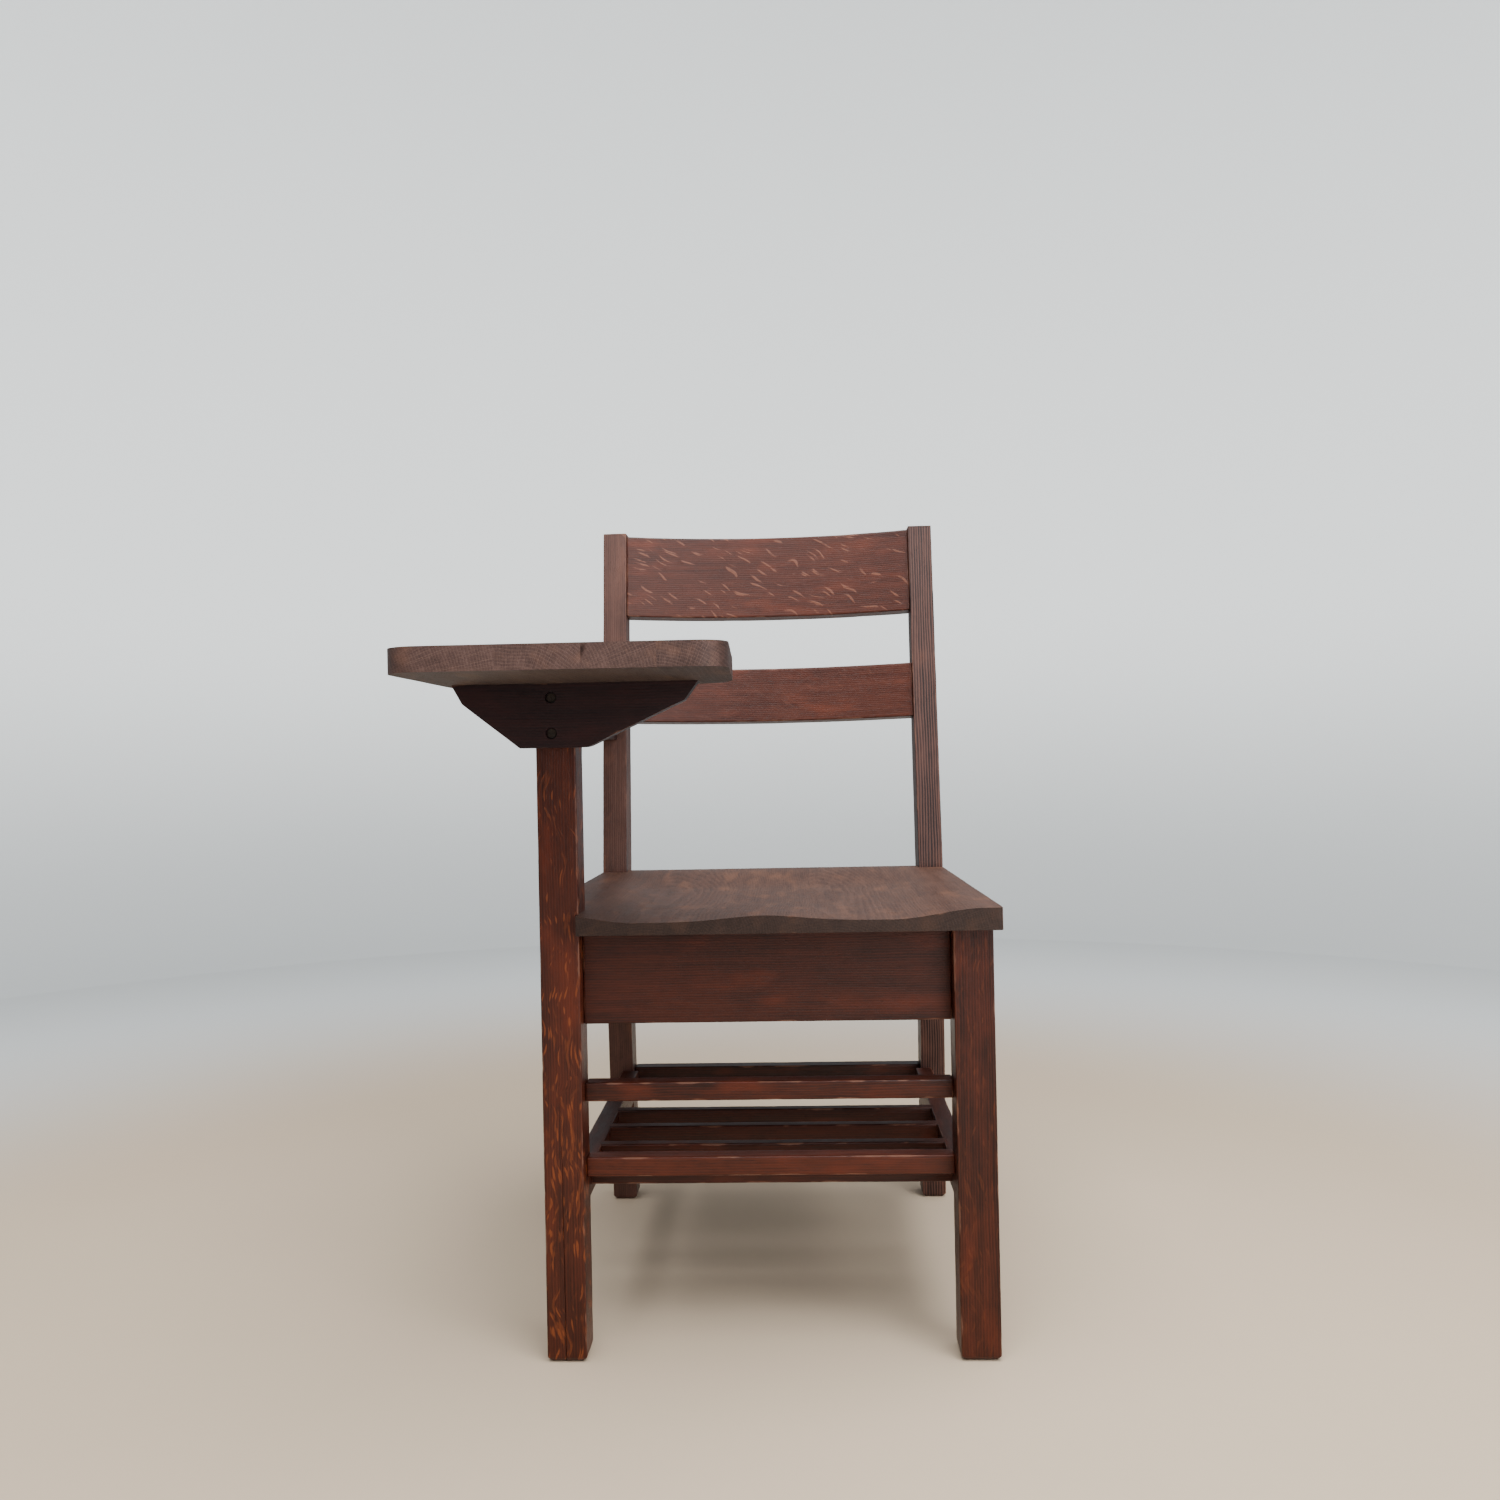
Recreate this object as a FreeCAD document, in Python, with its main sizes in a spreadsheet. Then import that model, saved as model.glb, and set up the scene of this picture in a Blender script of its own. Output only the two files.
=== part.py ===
import FreeCAD, Part
import math
import os
import re
import Sketcher

# An oak tablet-arm school chair with a book rack, millimetres, +Z up, feet on Z = 0.
# The origin is the middle of the chair's footprint box. The chair's own middle plane lies at
# X = middle_x, and the front faces of its front legs at Y = leg_front_y.
# The tablet is on the -X side, which is the sitter's right hand, and the sitter faces -Y.

os.makedirs("parts", exist_ok=True)
doc = FreeCAD.newDocument("school_chair")

# ---------------------------------------------------------------- driving sizes

SIZES = [
    ("middle_x", 41.13, "X of the chair's own middle plane"),
    ("leg_front_y", -152.58, "Y of the front faces of the front legs"),
    ("half_width", 215, "middle plane to the outside of the legs"),
    ("leg_size", 38, "front legs and tablet post, square section"),
    ("rear_post_width", 30, "rear posts, side to side"),
    ("eased_edge", 1.5, "arris rounding on the long edges"),
    ("foot_bevel", 4, "bevel round the foot of each leg"),
    ("foot_front", 440, "front face of the rear post at the floor, behind the front legs"),
    ("foot_depth", 33, "rear post, front to back, at the floor"),
    ("knee_front", 401, "front face of the rear post at the seat"),
    ("knee_depth", 50, "rear post, front to back, at the seat"),
    ("knee_radius", 300, "back of the rear post, rounded at the seat"),
    ("top_front", 460, "front face of the rear post at its top"),
    ("top_depth", 30, "rear post, front to back, at its top"),
    ("post_top", 870, "top of the rear posts"),
    ("seat_under", 408, "underside of the seat"),
    ("seat_thick", 21, "seat at its rim"),
    ("seat_overhang", 18.5, "seat in front of the legs"),
    ("seat_half_front", 222, "half the seat's width at its front edge"),
    ("seat_half_rear", 215, "half the seat's width at the rear posts"),
    ("seat_rear", 425, "rear edge of the seat, behind the front legs"),
    ("seat_corner", 4, "rounding of the seat's free front corner"),
    ("seat_joint_1", -128, "glue line between the seat's first two boards, from the middle"),
    ("seat_joint_2", -42, "second glue line"),
    ("seat_joint_3", 46, "third glue line"),
    ("seat_joint_4", 136, "fourth glue line"),
    ("apron_height", 90, "rails under the seat"),
    ("apron_thick", 20, "rails under the seat"),
    ("apron_set_in", 8, "side aprons in from the outside of the legs"),
    ("rear_apron_back", 22, "rear apron behind the posts' front faces at the seat"),
    ("rail_set_back", 18, "front rails behind the front faces of the legs"),
    ("tenon_length", 14, "every rail's tenon"),
    ("tenon_thick", 9, "every rail's tenon"),
    ("tenon_shoulder", 4, "rail's edge to its tenon"),
    ("stretcher_top", 261, "front stretcher"),
    ("stretcher_height", 18, "front stretcher"),
    ("rack_lip_top", 189, "front rail of the book rack"),
    ("rack_lip_height", 18.5, "front rail of the book rack"),
    ("rack_level", 171, "top of the rack's side rails, rear rail and slats"),
    ("rack_rail_height", 28, "rack's side rails and rear rail"),
    ("rack_rail_inside", 178, "middle plane to the inside of the rack's side rails"),
    ("rack_rear_front", 442, "front face of the rack's rear rail"),
    ("rack_tenon_out", 10, "inner face of the rack's side rails to their tenons"),
    ("slat_thick", 14, "rack slats, front to back"),
    ("slat_height", 20, "rack slats"),
    ("slat_start", 54, "first slat's front face"),
    ("slat_pitch", 63, "slat to slat"),
    ("slat_tongue", 6, "slat end let into the side rail"),
    ("rail_bow", 21, "hollow of the curved back rails over their length"),
    ("rail_thick", 22, "curved back rails"),
    ("rail_recess", 6, "curved back rails behind the faces of the posts"),
    ("crest_bottom", 759.5, "bottom of the crest rail"),
    ("crest_height", 108, "crest rail"),
    ("lower_bottom", 621, "bottom of the lower back rail"),
    ("lower_height", 70, "lower back rail"),
    ("tablet_under", 645.5, "underside of the tablet"),
    ("tablet_thick", 21, "tablet"),
    ("tablet_front", 203, "tablet's front edge in front of the legs"),
    ("tablet_outer_front", 298, "middle plane to the tablet's outer edge at the front"),
    ("tablet_outer_rear", 304.5, "middle plane to the tablet's outer edge at its widest"),
    ("tablet_inner", 19.2, "middle plane to the tablet's inner edge"),
    ("tablet_inner_rear", 27.2, "middle plane to the inner edge at the rear of the writing part"),
    ("writing_rear", 47, "rear edge of the writing part, behind the front legs"),
    ("arm_inner", 172, "middle plane to the inner edge of the arm rest"),
    ("arm_outer", 272, "middle plane to the outer edge of the arm rest at its end"),
    ("arm_rear", 429, "end of the arm rest"),
    ("arm_swell", 18, "arm rest narrower at the writing part than at its end"),
    ("corner_outer", 30, "rounding of the tablet's outer front corner"),
    ("corner_inner", 25, "rounding of its inner front corner"),
    ("corner_rear", 55, "rounding of the writing part's rear corner"),
    ("arm_sweep", 70, "hollow curve from the writing part into the arm rest"),
    ("arm_corner", 28, "rounding of the arm rest's outer rear corner"),
    ("side_sweep", 250, "long curve of the outer edge"),
    ("tablet_joint_1", -205, "glue line between the tablet's first two boards"),
    ("tablet_joint_2", -136, "second glue line"),
    ("tablet_joint_3", -76, "third glue line"),
    ("arm_rail_thick", 18, "rail under the arm rest"),
    ("arm_rail_height", 48, "rail under the arm rest"),
    ("bracket_thick", 20, "crosswise bracket on the post"),
    ("bracket_depth", 60.5, "crosswise bracket, top to bottom"),
    ("bracket_outer", 290, "middle plane to the bracket's outer top corner"),
    ("bracket_inner", 57, "middle plane to the bracket's inner top corner"),
    ("bracket_lip", 18, "bracket's top edge down to where its ends turn inwards"),
    ("bracket_lip_outer", 10, "outer end's slope over that drop"),
    ("bracket_lip_inner", 13.5, "inner end's slope over that drop"),
    ("bracket_foot_outer", 64, "outer top corner to the near end of the bottom edge"),
    ("bracket_foot_inner", 105, "inner top corner to the near end of the bottom edge"),
    ("bracket_foot_round", 18, "rounding at the inner end of the bottom edge"),
    ("bracket_screw_high", 13.5, "tablet's underside to the upper screw"),
    ("bracket_screw_low", 47, "tablet's underside to the lower screw"),
    ("bracket_screw_sunk", 1.5, "screw heads below the bracket's face"),
    ("bracket_screw_length", 45, "screws through the bracket into the post"),
    ("tablet_screw_sunk", 25, "tablet's underside to the heads of its screws"),
    ("tablet_screw_outer", 40, "bracket's outer corner to its outer tablet screw"),
    ("tablet_screw_inner", 53, "bracket's inner corner to its inner tablet screw"),
    ("rail_screw_front", 70, "tablet post to the arm rail's front tablet screw"),
    ("rail_screw_rear", 90, "arm rail's rear tablet screw to the rear post"),
    ("rail_screw_in", 6, "arm rail's outer face to its tablet screws"),
    ("counterbore", 4.8, "radius of the holes that the tablet's screws go up in"),
    ("screw_shank", 2.2, "wood screw shank radius"),
    ("screw_head", 4.2, "wood screw head radius"),
    ("screw_head_depth", 3.2, "countersunk head"),
    ("block_leg", 42, "corner block along each apron"),
    ("block_height", 30, "corner block"),
    ("block_toe", 5, "corner block's square ends"),
    ("block_screw_in", 13, "corner to the screw up into the seat"),
    ("block_screw_length", 30, "screws into the aprons"),
    ("seat_screw_bite", 9, "screws up into the seat, past the block"),
    ("seat_hollow", 9.5, "depth of the saddled seat at its front edge"),
    ("hollow_half", 205, "middle plane to the rim of the saddled hollow"),
    ("hollow_ramp", 85, "width of the slope from the rim down into the hollow"),
    ("hollow_gain", 2, "further depth of the hollow towards the middle of the seat"),
    ("hollow_run", 200, "from the front edge to the deepest part of the hollow"),
    ("back_rise", 125, "length of the slope up to the rear rim"),
    ("back_rim", 9, "rear end of that slope behind the posts' front faces"),
    ("pommel", 5.5, "rise in the middle of the seat's front edge"),
    ("pommel_spread", 50, "half width of that rise"),
    ("pommel_run", 190, "from the front edge to where the rise dies out"),
]

sheet = doc.addObject("Spreadsheet::Sheet", "Sizes")
for row, (alias, number, note) in enumerate(SIZES, 1):
    sheet.set("A%d" % row, note)
    sheet.set("B%d" % row, str(number))
    sheet.setAlias("B%d" % row, alias)
doc.recompute()

ALIASES = {alias for alias, _, _ in SIZES}
SPARE = 10        # how far cutting tools and unsawn blanks run past the pieces they shape
finished = []


def bound(text):
    """An expression with each alias written out as a cell of the sheet."""
    return re.sub(r"\w+", lambda word: "Sizes." + word.group() if word.group() in ALIASES
                  else word.group(), text)


def bind(thing, prop, text):
    thing.setExpression(prop, bound(text))


def value(text):
    result = sheet.evalExpression(bound(text))
    return float(getattr(result, "Value", result))


def place(thing, x, y, z):
    """Bind a placement given from the middle plane, the leg fronts and the floor."""
    bind(thing, "Placement.Base.x", "middle_x + (%s)" % x)
    bind(thing, "Placement.Base.y", "leg_front_y + (%s)" % y)
    bind(thing, "Placement.Base.z", z)


def box(name, x, y, z, along_x, along_y, along_z):
    block = doc.addObject("Part::Box", name)
    bind(block, "Length", along_x)
    bind(block, "Width", along_y)
    bind(block, "Height", along_z)
    place(block, x, y, z)
    return block


def finish(thing, label):
    thing.Label = label
    finished.append(thing)
    return thing


def joined(name, first, *others):
    """One solid from solids that meet: a rail with its tenons."""
    fuse = doc.addObject("Part::MultiFuse", name + "_joined")
    fuse.Shapes = [first, *others]
    fuse.Refine = True
    return fuse


def cut(base, label, *tools):
    """The base with everything that enters it taken out: mortises, notches, screw holes."""
    tool = tools[0]
    if len(tools) > 1:
        tool = doc.addObject("Part::Compound", label + "_entering")
        tool.Links = list(tools)
    piece = doc.addObject("Part::Cut", label + "_cut")
    piece.Base = base
    piece.Tool = tool
    return finish(piece, label)


# ---------------------------------------------------------------- sketched bodies

def new_sketch(body, role):
    sketch = body.newObject("Sketcher::SketchObject", body.Name + "_outline")
    plane = next(part for part in body.Origin.OriginFeatures if part.Role == role)
    sketch.AttachmentSupport = [(plane, "")]
    sketch.MapMode = "FlatFace"
    return sketch


def polygon_body(name, role, corners, depth, turned=False, radii=()):
    """A padded polygon. Corners are pairs of expressions in the sketch's own plane.

    radii maps a corner's number to the expression of its rounding.
    """
    body = doc.addObject("PartDesign::Body", name)
    sketch = new_sketch(body, role)
    points = [FreeCAD.Vector(value(across), value(up), 0) for across, up in corners]
    count = len(points)
    for index, point in enumerate(points):
        sketch.addGeometry(Part.LineSegment(point, points[(index + 1) % count]), False)
    for index, (across, up) in enumerate(corners):
        before = (index - 1) % count
        sketch.addConstraint(Sketcher.Constraint("Coincident", before, 2, index, 1))
        for kind, text, number in (("DistanceX", across, points[index].x),
                                   ("DistanceY", up, points[index].y)):
            added = sketch.addConstraint(
                Sketcher.Constraint(kind, -1, 1, index, 1, number))
            sketch.setExpression("Constraints[%d]" % added, bound(text))
    pad = body.newObject("PartDesign::Pad", name + "_pad")
    pad.Profile = sketch
    pad.Reversed = turned
    bind(pad, "Length", depth)
    doc.recompute()
    for index, radius in dict(radii).items():
        round_corner(body, sketch, points[index], radius)
    return body


def round_corner(body, sketch, corner, radius):
    """Round the padded edge that stands on one sketched corner."""
    normal = sketch.Placement.Rotation.multVec(FreeCAD.Vector(0, 0, 1))
    at = sketch.Placement.multVec(corner)
    tip = body.Tip
    names = []
    for number, edge in enumerate(tip.Shape.Edges, 1):
        ends = [vertex.Point for vertex in edge.Vertexes]
        if len(ends) == 2 and all(end.distanceToLine(at, normal) < 0.01 for end in ends):
            names.append("Edge%d" % number)
    rounding = body.newObject("PartDesign::Fillet", body.Name + "_rounding")
    rounding.Base = (tip, names)
    bind(rounding, "Radius", radius)
    doc.recompute()


def ease(body, direction, radius="eased_edge"):
    """Round every long edge that runs along one direction."""
    tip = body.Tip
    names = []
    for number, edge in enumerate(tip.Shape.Edges, 1):
        ends = [vertex.Point for vertex in edge.Vertexes]
        if len(ends) == 2:
            run = (ends[1] - ends[0]).normalize()
            if abs(run.dot(direction)) > 0.999:
                names.append("Edge%d" % number)
    easing = body.newObject("PartDesign::Fillet", body.Name + "_easing")
    easing.Base = (tip, names)
    bind(easing, "Radius", radius)
    doc.recompute()


X_WAY = FreeCAD.Vector(1, 0, 0)
Y_WAY = FreeCAD.Vector(0, 1, 0)
Z_WAY = FreeCAD.Vector(0, 0, 1)


def stick(name, run, x, y, z, along_x, along_y, along_z):
    """A straight length of lumber with eased long edges, running along X, Y or Z."""
    role, across, up, depth, way, turned = {
        "X": ("YZ_Plane", along_y, along_z, along_x, X_WAY, False),
        "Y": ("XZ_Plane", along_x, along_z, along_y, Y_WAY, True),
        "Z": ("XY_Plane", along_x, along_y, along_z, Z_WAY, False)}[run]
    corners = [("0", "0"), (across, "0"), (across, up), ("0", up)]
    body = polygon_body(name, role, corners, depth, turned)
    ease(body, way)
    place(body, x, y, z)
    return body


def rail_across(name, half, y, z, thick, height):
    """A rail between two uprights, side to side, with a tenon at each end."""
    blank = stick(name + "_blank", "X", "-(%s)" % half, y, z, "2 * (%s)" % half, thick, height)
    tenon = box(name + "_tenons", "-(%s) - tenon_length" % half,
                "%s + (%s - tenon_thick) / 2" % (y, thick), "%s + tenon_shoulder" % z,
                "2 * (%s) + 2 * tenon_length" % half, "tenon_thick",
                "%s - 2 * tenon_shoulder" % height)
    return joined(name, blank, tenon)


def rail_along(name, side, inside, z, thick, height, tenon_out):
    """A rail from a front leg to a raked rear post, its tenons nearer its outer face."""
    near = inside if side > 0 else "-(%s) - %s" % (inside, thick)
    tongue = "%s + %s" % (inside, tenon_out)
    tongue = tongue if side > 0 else "-(%s) - tenon_thick" % tongue
    end = post_front_below(z)
    blank = stick(name + "_blank", "Y", near, "leg_size", z, thick,
                  "%s - leg_size" % end, height)
    shouldered = doc.addObject("Part::Cut", name + "_shouldered")
    shouldered.Base = blank
    shouldered.Tool = post_blanks[side]
    tenon = box(name + "_tenons", tongue, "leg_size - tenon_length",
                "%s + tenon_shoulder" % z, "tenon_thick",
                "%s - leg_size + 2 * tenon_length" % end, "%s - 2 * tenon_shoulder" % height)
    return joined(name, shouldered, tenon)


def screw(name, x, y, z, way, length):
    """A countersunk wood screw: x, y, z is the middle of its head, way is where it points."""
    head = doc.addObject("Part::Cone", name + "_head")
    bind(head, "Radius1", "screw_head")
    bind(head, "Radius2", "screw_shank")
    bind(head, "Height", "screw_head_depth")
    shank = doc.addObject("Part::Cone", name + "_shank")
    bind(shank, "Radius1", "screw_shank")
    bind(shank, "Radius2", "screw_shank / 2")
    bind(shank, "Height", "%s - screw_head_depth" % length)
    bind(shank, "Placement.Base.z", "screw_head_depth")
    whole = doc.addObject("Part::Fuse", name)
    whole.Base = head
    whole.Tool = shank
    whole.Placement = FreeCAD.Placement(FreeCAD.Vector(), FreeCAD.Rotation(Z_WAY, way))
    place(whole, x, y, z)
    return whole


def screw_group(label, places):
    group = doc.addObject("Part::Compound", label + "_group")
    group.Links = [screw("%s_%d" % (label, number), *spot)
                   for number, spot in enumerate(places, 1)]
    return finish(group, label)


# ---------------------------------------------------------------- rear posts

LEG_INSIDE = "half_width - leg_size"
POST_INSIDE = "half_width - rear_post_width"
KNEE_HEIGHT = "(seat_under + seat_thick)"
SIDES = (("left", -1), ("right", 1))


def post_front_below(z):
    """Front face of the rear posts at a height below the knee."""
    return "(foot_front - (%s) * (foot_front - knee_front) / %s)" % (z, KNEE_HEIGHT)


def post_front_above(z):
    """Front face of the rear posts at a height above the knee."""
    return ("(knee_front + (%s - %s) * (top_front - knee_front) / (post_top - %s))"
            % (z, KNEE_HEIGHT, KNEE_HEIGHT))


# Each rear post is sawn from one plank, leaning back both ways from a knee at the seat.
post_blanks = {}
for side_name, side in SIDES:
    post = polygon_body("rear_post_%s_blank" % side_name, "YZ_Plane", [
        ("foot_front", "0"),
        ("foot_front + foot_depth", "0"),
        ("knee_front + knee_depth", KNEE_HEIGHT),
        ("top_front + top_depth", "post_top"),
        ("top_front", "post_top"),
        ("knee_front", KNEE_HEIGHT)], "rear_post_width", radii=[(2, "knee_radius")])
    place(post, POST_INSIDE if side > 0 else "-half_width", "0", "0")
    post_blanks[side] = post

# ---------------------------------------------------------------- rails of the base

APRON_BOTTOM = "seat_under - apron_height"
BACK_APRON_FRONT = "knee_front + rear_apron_back"

front_stretcher = finish(rail_across(
    "front_stretcher", LEG_INSIDE, "rail_set_back", "stretcher_top - stretcher_height",
    "apron_thick", "stretcher_height"), "front_stretcher")
rack_front_rail = finish(rail_across(
    "rack_front_rail", LEG_INSIDE, "rail_set_back", "rack_lip_top - rack_lip_height",
    "apron_thick", "rack_lip_height"), "rack_front_rail")
rack_rear_rail = finish(rail_across(
    "rack_rear_rail", POST_INSIDE, "rack_rear_front", "rack_level - rack_rail_height",
    "apron_thick", "rack_rail_height"), "rack_rear_rail")

# The slats' ends are let into the rack's side rails.
SLAT_COUNT = 4
slats = []
for number in range(1, SLAT_COUNT + 1):
    slat = stick("rack_slat_%d_blank" % number, "X", "-rack_rail_inside - slat_tongue",
                 "slat_start + %d * slat_pitch" % (number - 1), "rack_level - slat_height",
                 "2 * (rack_rail_inside + slat_tongue)", "slat_thick", "slat_height")
    slats.append(finish(slat, "rack_slat_%d" % number))

rack_side_rails = {}
for side_name, side in SIDES:
    label = "rack_side_rail_" + side_name
    whole = rail_along(label + "_uncut", side, "rack_rail_inside",
                       "rack_level - rack_rail_height", "apron_thick", "rack_rail_height",
                       "rack_tenon_out")
    rack_side_rails[side] = cut(whole, label, *slats)

# ---------------------------------------------------------------- aprons and corner blocks

APRON_INSIDE = "half_width - apron_set_in - apron_thick"
BLOCK_LOW = "seat_under - block_height"
SCREW_ALONG = "block_leg * 2 / 3"

block_spots = []
seat_spots = []
corner_blanks = {}
for end_name, end, corner_y in (("front", 1, "leg_size"), ("rear", -1, BACK_APRON_FRONT)):
    for side_name, side in SIDES:
        corner_x = "%d * (%s)" % (side, APRON_INSIDE)
        label = "corner_block_%s_%s" % (end_name, side_name)
        plan = [("0", "0"), ("%d * block_leg" % -side, "0"),
                ("%d * block_leg" % -side, "%d * block_toe" % end),
                ("%d * block_toe" % -side, "%d * block_leg" % end),
                ("0", "%d * block_leg" % end)]
        blank = polygon_body(label + "_blank", "XY_Plane", plan, "block_height")
        place(blank, corner_x, corner_y, BLOCK_LOW)
        corner_blanks[label] = (blank, end, side)
        seat_spots.append((corner_x + " + %d * block_screw_in" % -side,
                           corner_y + " + %d * block_screw_in" % end,
                           BLOCK_LOW, Z_WAY, "block_height + seat_screw_bite"))
        reach = "(block_leg + block_toe - %s)" % SCREW_ALONG
        block_spots.append((corner_x + " + %d * %s" % (-side, reach),
                            corner_y + " + %d * %s" % (end, SCREW_ALONG),
                            BLOCK_LOW + " + block_height / 2", X_WAY * side,
                            "block_screw_length"))
        block_spots.append((corner_x + " + %d * %s" % (-side, SCREW_ALONG),
                            corner_y + " + %d * %s" % (end, reach),
                            BLOCK_LOW + " + block_height / 2", Y_WAY * -end,
                            "block_screw_length"))

seat_screws = screw_group("seat_screws", seat_spots)
corner_block_screws = screw_group("corner_block_screws", block_spots)
for label, (blank, end, side) in corner_blanks.items():
    around = [post_blanks[side]] if end < 0 else []
    cut(blank, label, seat_screws, corner_block_screws, *around)

front_apron = cut(rail_across("front_apron_unscrewed", LEG_INSIDE, "rail_set_back", APRON_BOTTOM,
                              "apron_thick", "apron_height"), "front_apron",
                  corner_block_screws)
rear_apron = cut(rail_across("rear_apron_unscrewed", POST_INSIDE, BACK_APRON_FRONT, APRON_BOTTOM,
                             "apron_thick", "apron_height"), "rear_apron",
                 corner_block_screws)
side_aprons = {}
for side_name, side in SIDES:
    whole = rail_along("side_apron_%s_unscrewed" % side_name, side, APRON_INSIDE, APRON_BOTTOM,
                       "apron_thick", "apron_height", "(apron_thick - tenon_thick) / 2")
    side_aprons[side] = cut(whole, "side_apron_" + side_name, corner_block_screws)

# ---------------------------------------------------------------- curved back rails

RAKE = "atan((top_front - knee_front) / (post_top - %s))" % KNEE_HEIGHT
HALF_SPAN = "(%s)" % POST_INSIDE
BOW_RADIUS = "(%s ^ 2 + rail_bow ^ 2) / (2 * rail_bow)" % HALF_SPAN


def curved_rail(label, bottom, height):
    """A back rail sawn to a curve that is hollow towards the sitter, raked with the posts."""
    outer = doc.addObject("Part::Cylinder", label + "_outer")
    inner = doc.addObject("Part::Cylinder", label + "_inner")
    for cylinder, grown in ((outer, " + rail_thick"), (inner, "")):
        bind(cylinder, "Radius", BOW_RADIUS + grown)
        bind(cylinder, "Height", height)
        bind(cylinder, "Placement.Base.y", "rail_bow - " + BOW_RADIUS)
    ring = doc.addObject("Part::Cut", label + "_ring")
    ring.Base = outer
    ring.Tool = inner
    window = doc.addObject("Part::Box", label + "_window")
    bind(window, "Length", "2 * " + HALF_SPAN)
    bind(window, "Width", "rail_bow + 2 * rail_thick")
    bind(window, "Height", height)
    bind(window, "Placement.Base.x", "-" + HALF_SPAN)
    arc = doc.addObject("Part::Common", label + "_arc")
    arc.Base = ring
    arc.Tool = window
    tenons = []
    for end, start in (("left", "-%s - tenon_length" % HALF_SPAN),
                       ("right", HALF_SPAN + " - tenon_shoulder")):
        tenon = doc.addObject("Part::Box", "%s_tenon_%s" % (label, end))
        bind(tenon, "Length", "tenon_length + tenon_shoulder")
        bind(tenon, "Width", "tenon_thick")
        bind(tenon, "Height", "%s - 2 * tenon_shoulder" % height)
        bind(tenon, "Placement.Base.x", start)
        bind(tenon, "Placement.Base.y", "(rail_thick - tenon_thick) / 2")
        bind(tenon, "Placement.Base.z", "tenon_shoulder")
        tenons.append(tenon)
    rail = finish(joined(label, arc, *tenons), label)
    rail.Placement.Rotation = FreeCAD.Rotation(-X_WAY, value(RAKE))
    bind(rail, "Placement.Rotation.Angle", RAKE)
    place(rail, "0", "%s + rail_recess" % post_front_above(bottom), bottom)
    return rail


crest_rail = curved_rail("crest_rail", "crest_bottom", "crest_height")
lower_back_rail = curved_rail("lower_back_rail", "lower_bottom", "lower_height")


# ---------------------------------------------------------------- bracket and arm rail

POST_MIDDLE = "half_width - leg_size / 2"
bracket_blank = polygon_body("tablet_bracket_blank", "XZ_Plane", [
    ("-bracket_outer", "tablet_under"),
    ("bracket_lip_outer - bracket_outer", "tablet_under - bracket_lip"),
    ("bracket_foot_outer - bracket_outer", "tablet_under - bracket_depth"),
    ("-bracket_inner - bracket_foot_inner", "tablet_under - bracket_depth"),
    ("-bracket_inner - bracket_lip_inner", "tablet_under - bracket_lip"),
    ("-bracket_inner", "tablet_under")], "bracket_thick",
    radii=[(3, "bracket_foot_round")])
place(bracket_blank, "0", "0", "0")
bracket_screws = screw_group("bracket_screws", [
    ("-(%s)" % POST_MIDDLE, "bracket_screw_sunk - bracket_thick", "tablet_under - " + drop,
     Y_WAY, "bracket_screw_length")
    for drop in ("bracket_screw_high", "bracket_screw_low")])

arm_rail_blank = stick("arm_rail_blank", "Y", "-half_width", "leg_size",
                       "tablet_under - arm_rail_height", "arm_rail_thick",
                       "knee_front + knee_depth - leg_size", "arm_rail_height")

# The tablet is screwed down from below, through holes counterbored in bracket and rail.
SCREW_LEVEL = "tablet_under - tablet_screw_sunk"
RAIL_SCREW_X = "rail_screw_in - half_width"
tablet_spots = [("tablet_screw_outer - bracket_outer", "-bracket_thick / 2"),
                ("-bracket_inner - tablet_screw_inner", "-bracket_thick / 2"),
                (RAIL_SCREW_X, "leg_size + rail_screw_front"),
                (RAIL_SCREW_X, "knee_front - rail_screw_rear")]
tablet_screws = screw_group("tablet_screws", [
    (x, y, SCREW_LEVEL, Z_WAY, "tablet_screw_sunk + tablet_thick / 2") for x, y in tablet_spots])
counterbores = []
for number, (x, y) in enumerate(tablet_spots, 1):
    bore = doc.addObject("Part::Cylinder", "counterbore_%d" % number)
    bind(bore, "Radius", "counterbore")
    bind(bore, "Height", "bracket_depth")
    place(bore, x, y, SCREW_LEVEL + " - bracket_depth")
    counterbores.append(bore)
cut(bracket_blank, "tablet_bracket", bracket_screws, tablet_screws, *counterbores)
cut(arm_rail_blank, "arm_rail", post_blanks[-1], tablet_screws, *counterbores)

# ---------------------------------------------------------------- legs and posts


def leg(label, side, height, *entering):
    """A square leg with a bevelled foot, mortised for everything that enters it."""
    blank = polygon_body(label + "_blank", "XY_Plane", [
        ("0", "0"), ("leg_size", "0"), ("leg_size", "leg_size"), ("0", "leg_size")], height)
    tip = blank.Tip
    under = ["Edge%d" % number for number, edge in enumerate(tip.Shape.Edges, 1)
             if all(abs(vertex.Z) < 0.01 for vertex in edge.Vertexes)]
    bevel = blank.newObject("PartDesign::Chamfer", label + "_foot")
    bevel.Base = (tip, under)
    bind(bevel, "Size", "foot_bevel")
    doc.recompute()
    ease(blank, Z_WAY)
    place(blank, LEG_INSIDE if side > 0 else "-half_width", "0", "0")
    cut(blank, label, *entering)


leg("tablet_post", -1, "tablet_under", front_apron, front_stretcher, rack_front_rail,
    side_aprons[-1], rack_side_rails[-1], bracket_screws)
leg("front_leg", 1, "seat_under", front_apron, front_stretcher, rack_front_rail,
    side_aprons[1], rack_side_rails[1])
for side_name, side in SIDES:
    cut(post_blanks[side], "rear_post_" + side_name, crest_rail, lower_back_rail, rear_apron,
        rack_rear_rail, side_aprons[side], rack_side_rails[side])

# ---------------------------------------------------------------- saddled seat


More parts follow.
